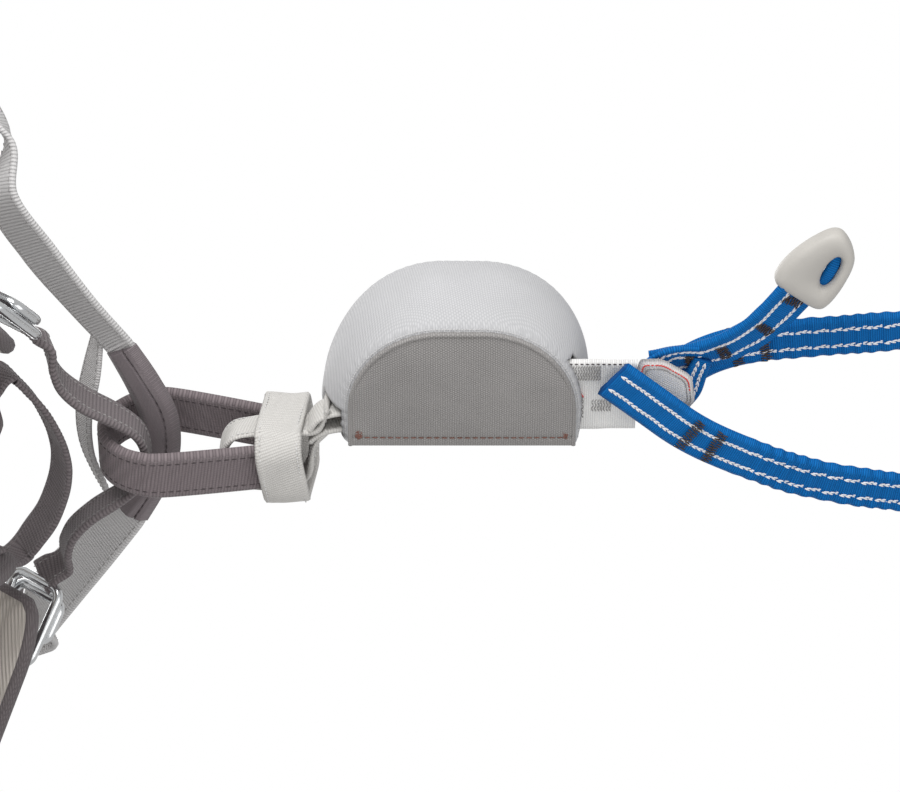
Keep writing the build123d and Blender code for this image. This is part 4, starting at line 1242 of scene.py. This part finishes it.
def make_pouch():
    """The pouch's cloth, piping, closing flap and stitching."""
    make_gusset()
    pouch_panel("pouch_front_cloth", POUCH_FRONT, -1, "pouch_dark", 2.6, 21, ["pouch_front_panel"])
    pouch_panel("pouch_back_cloth", POUCH_FRONT + POUCH_DEPTH, 1, "pouch_light", 1.6, 22,
                ["pouch_back_panel"])
    down = Vector((0, 0, -1))
    edge = pouch_edge(300)
    for name, rise, face, finish in (("front", POUCH_FRONT, -1, "pouch_dark"),
                                     ("back", POUCH_FRONT + POUCH_DEPTH, 1, "pouch_light")):
        line = [tie(x - nx * 0.9, y - ny * 0.9, rise + face * 0.1) for x, y, nx, ny in edge]
        tube(f"pouch_{name}_piping", line, 0.95 * MM, finish, "pouch")
    threads = []
    for x, y, nx, ny in pouch_edge(150)[6:-6]:
        threads.append((tie(x + nx * 1.1, y + ny * 1.1, POUCH_FRONT + 1.2), Vector((ny, -nx, 0)),
                        Vector((nx, ny, -0.5)).normalized()))
    sew("pouch_gusset_stitches", threads, (0.00095, 0.0004, 0.0004), "light_thread", "pouch")
    # closing side: an overlapping flap from the front to the back panel
    rows = []
    for index in range(61):
        x = POUCH_X + POUCH_LENGTH * index / 60
        rows.append((tie(x, POUCH_Y + 0.4, POUCH_FRONT + POUCH_DEPTH / 2), wide(0, 0, POUCH_DEPTH - 0.6)))
    flap = strap("pouch_flap_cloth", rows, 0.0014, "pouch_light", samples=24,
                 relief=lambda run, side: 0.0016 * (1 - side ** 4) * min(1.0, run / 0.01,
                                                                         (0.092 - run) / 0.01)
                 + (0.0004 if side > 0.1 else 0.0))
    place_piece(flap, "pouch", ["pouch_closing_flap"])
    lap = [tie(POUCH_X + 3 + 86 * index / 80, POUCH_Y + 2.9,
               POUCH_FRONT + POUCH_DEPTH * 0.52) for index in range(81)]
    tube("pouch_flap_edge", lap, 0.7 * MM, "pouch_dark", "pouch")
    # top stitch along the front panel's fold, with a thread tuft at each end
    fold = [tie(POUCH_X + 4.5 + 83 * index / 400, POUCH_Y - 4.2,
                POUCH_FRONT - 0.75 - 0.3 * math.sin(index / 400 * math.pi))
            for index in range(401)]
    sew("pouch_fold_stitches", path_threads(fold, down, 0.0031), (0.0025, 0.0006, 0.0006), "brown_thread",
        "pouch")
    rng = random.Random(5)
    tufts = []
    for x in (POUCH_X + 4.5, POUCH_X + 87.5):
        for _ in range(26):
            lean = Vector((rng.uniform(-1, 1), rng.uniform(-1, 1), rng.uniform(-0.4, 0.1))).normalized()
            spot = tie(x + rng.uniform(-0.9, 0.9), POUCH_Y - 5.6 + rng.uniform(-1.6, 1.6), POUCH_FRONT - 1.0)
            tufts.append((spot, lean, down))
    sew("pouch_fold_tufts", tufts, (0.0021, 0.0004, 0.0004), "brown_thread", "pouch")


def make_absorber():
    """The end strap of the tear webbing that is folded in the pouch, and the sewn eye."""
    start_x = POUCH_X + POUCH_LENGTH / 2 + 33.15
    marks = []
    for index in range(8):
        x = start_x + (344.0 - start_x) * index / 7
        marks.append((tie(x, POUCH_Y - 20, -12), wide(0, 34 - 0.6 * (index > 4), 0)))
    rows = smooth_rows(marks, 0.0005)
    soft = ribs(0.0010, 0.00012, 0.92)
    place_piece(strap("end_strap_webbing", rows, 0.0030, "white_web", relief=lambda run,
                      side: soft(run, side) + 0.0002 * math.sin(run * 400 + side * 4), samples=20),
                "pouch", ["end_webbing"])
    blocks = ((318.5, 329.0, -46.5, -39.5, 0.0011), (318.0, 322.5, -32.0, -21.5, 0.0011),
              (326.5, 333.5, -30.5, -24.5, 0.0012))
    anchors = []
    for low_x, high_x, low_y, high_y, pitch in blocks:
        lines = round((high_x - low_x) * MM / pitch)
        for line in range(lines + 1):
            x = low_x + (high_x - low_x) * line / lines
            turns = round((high_y - low_y) / 1.4)
            for turn in range(turns):
                y = low_y + (high_y - low_y) * (turn + 0.5) / turns
                lean = 0.55 if turn % 2 else -0.55
                for face in (-1, 1):
                    anchors.append((tie(x, y, -12 + face * 1.75), Vector((lean, 1, 0)).normalized(),
                                    Vector((0, 0, face))))
    sew("end_strap_zigzag", anchors, (0.0017, 0.00055, 0.0005), "grey_thread", "pouch")
    reds = []
    for index in range(7):
        reds.append((tie(319.5 + index * 0.5, -37.4 + index * 0.9, -13.9), Vector((0.5, 1, 0)).normalized(),
                     Vector((0, 0, -1))))
    sew("end_strap_red_threads", reds, (0.0014, 0.0005, 0.0005), "red_thread", "pouch")
    dashes = [(tie(313 + index * 2.2, -47.3, -13.7), Vector((1, 0, 0)),
               Vector((0, 0, -1))) for index in range(13)]
    sew("end_strap_edge_dashes", dashes, (0.0015, 0.0006, 0.0005), "seam_thread", "pouch")
    eye_x = 344.15
    outline = [(0, -17), (10, -17), (22, -9), (24, 4), (14, 13), (0, 11)]
    corners = [Vector((eye_x + x, POUCH_Y - 20 + y)) for x, y in outline]
    make_eye(corners)


def make_eye(corners):
    """The sewn eye: a flat folded tab with rounded corners and stitched rim."""
    middle = sum(corners, Vector((0, 0))) / len(corners)
    rim = []
    count = len(corners)
    for index in range(count):
        before, corner, after = corners[index - 1], corners[index], corners[(index + 1) % count]
        first = corner.lerp(before, 0.22)
        second = corner.lerp(after, 0.22)
        for step in range(7):
            share = step / 6
            rim.append(first.lerp(corner, share).lerp(corner.lerp(second, share), share))
    rings = 10
    outer, inner = [], []
    for ring in range(rings + 1):
        share = ring / rings
        crown = 1.75 * math.sqrt(max(0.0, 1 - share ** 6)) + 0.1 * math.cos(share * 9)
        outer.append([tie(*(middle.lerp(point, max(share, 0.02))), -12 - crown) for point in rim + rim[:1]])
        inner.append([tie(*(middle.lerp(point, max(share, 0.02))), -12 + crown) for point in rim + rim[:1]])
    made = slab("sewn_eye_webbing", outer, inner, "white_eye")
    place_piece(made, "pouch", ["sewn_eye"])
    anchors = []
    for face in (-1, 1):
        for share, finish in ((0.86, 0), (0.74, 1)):
            line = [middle.lerp(point, share) for point in rim + rim[:1]]
            for first, second in zip(line, line[1:]):
                step = second - first
                pieces = max(1, round(step.length / 1.5))
                for piece in range(pieces):
                    spot = first.lerp(second, (piece + 0.5) / pieces)
                    anchors.append((tie(spot.x, spot.y, -12 + face * 1.8),
                                    Vector((step.x, step.y, 0)).normalized(),
                                    Vector((0, 0, face)), finish))
    sew("sewn_eye_red_rim", [a[:3] for a in anchors if a[3] == 0 and a[0].y < (POUCH_Y - 22) * MM],
        RIM_THREAD, "red_thread", "pouch")
    sew("sewn_eye_rim", [a[:3] for a in anchors if a[3] == 1 or a[0].y >= (POUCH_Y - 22) * MM],
        RIM_THREAD, "grey_thread", "pouch")


# ---------------------------------------------------------------- stub tail and its ring

def make_eye_loop():
    """The folded webbing that ties the short tail round the sewn eye."""
    marks = stations(
        (343.5, -31, -9.2, 5, 8, -3), (346.5, -37.5, -9.0, 6, 8, 0), (351.5, -43.5, -7.6, 5, 9, 3),
        (359, -46.6, -5.6, 3, 9, 5), (369, -46.6, -4.4, 0, 9, 5))
    rows = smooth_rows(marks, 0.0005)
    relief, _ = gathered(1.0)
    made = strap("eye_loop_webbing", rows, 0.0022, "blue_web", relief=relief, samples=14)
    threads = tracers("eye_loop_tracers", rows, 0.0022, None, relief, sides=(-0.5, 0.5))
    for piece in (made, threads):
        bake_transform(piece)
    marks = stations(
        (371, -44, -5.0, 8, 2, 0), (368.5, -36, -4.2, 9, 1, 0), (366.5, -27, -3.0, 9, 0, 0),
        (362, -20, -2.0, 9, 3, 0))
    rows = smooth_rows(marks, 0.0005)
    place_piece(strap("eye_return_webbing", rows, 0.0022, "blue_web", relief=relief, samples=14), "stub_arm",
                ())
    tracers("eye_return_tracers", rows, 0.0022, "stub_arm", relief, sides=(-0.45, 0.45))


def make_guard():
    """Moulded guard on the tail's end: a rounded ring with an oblong slot and blue webbing in it."""
    last = Vector((*STUB_ROUTE[-1], TIE_Z + STUB_RISE))
    turn = Matrix.Rotation(math.radians(-55), 3, "Z")
    outline = [(-6.2, 0), (-5.6, -10), (-1, -12.8), (8, -12.8), (18, -10.2), (26, -6.0), (27.2, -0.5),
               (21.5, 8.2), (10, 12.0), (-1, 12.8), (-5.6, 10)]
    rim = [place for place, _ in smooth_rows([(wide(x, y, 0), wide(1, 0, 0)) for x, y in outline], 0.0007,
                                             closed=True)]
    lean = Matrix.Rotation(math.radians(-11), 3, "Z")
    centre = wide(11.5, 4.0, 0)
    samples = 20
    points, faces = [], []
    for place in rim:
        toward = lean.transposed() @ (place - centre)
        angle = math.atan2(toward.y, toward.x)
        slot = centre + lean @ wide(7.4 * math.cos(angle), 2.7 * math.sin(angle), 0)
        for step in range(samples):
            bend = 2 * math.pi * step / samples
            out = math.copysign(abs(math.cos(bend)) ** 0.55, math.cos(bend))
            up = math.copysign(abs(math.sin(bend)) ** 0.55, math.sin(bend))
            share = 0.5 + 0.5 * out
            spot = slot.lerp(place, share)
            spot = spot + wide(0, 0, 5.2 * up * (0.82 + 0.18 * math.sin(math.pi * share)))
            points.append(last + turn @ spot)
    count = len(rim)
    for row in range(count):
        for step in range(samples):
            after, following = (row + 1) % count, (step + 1) % samples
            faces.append((row * samples + step, row * samples + following, after * samples + following,
                          after * samples + step))
    made = link_mesh("stub_guard", points, faces)
    made.data.materials.append(MAT["moulded"])
    place_piece(outward(made), "stub_arm", ["stub_ring"])
    rows = []
    for index in range(25):
        share = index / 24
        spot = wide(4.5 + 14 * share, 5.4 - 2.7 * share, -1.6 * math.sin(math.pi * share))
        rows.append((last + turn @ spot, turn @ wide(0, 5.2, 0)))
    place_piece(strap("guard_fold_webbing", rows, 0.0024, "blue_web", samples=8), "stub_arm", ())


def make_hardware():
    """Finishes for the pieces whose plain shapes are already right."""
    sides, arms = ("right", "left"), ("near_connector", "far_connector")
    finishes = {
        "steel": ["leg_buckle_frames", "waist_buckle_frames"] + [f"{arm}_gate_pin" for arm in arms]
        + [f"{place}_buckle_slider_{side}" for place in ("leg", "waist") for side in sides],
        "alloy": [f"{arm}_body" for arm in arms],
        "dark_alloy": [f"{arm}_gate" for arm in arms],
        "rubber": ["riser_hooks"] + [f"{arm}_{part}" for arm in arms for part in ("keeper", "lock_sleeve")]
        + [f"gear_loop_{place}_{side}" for place in ("front", "rear") for side in sides],
        "pad_dark": ["haul_loop"],
        "elastic": ["risers"],
        "white_eye": ["tear_webbing_pack"],
    }
    for finish, nodes in finishes.items():
        for node in nodes:
            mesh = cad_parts[node].data
            mesh.materials.clear()
            mesh.materials.append(MAT[finish])


# ---------------------------------------------------------------- making it all

make_view()
make_stage()
make_arms()
make_front_straps()
make_sleeve()
make_bridge()
make_belay_loop()
make_girth()
make_mouth_strands()
make_belt()
make_leg_loops()
make_pouch()
make_absorber()
make_eye_loop()
make_guard()
make_hardware()
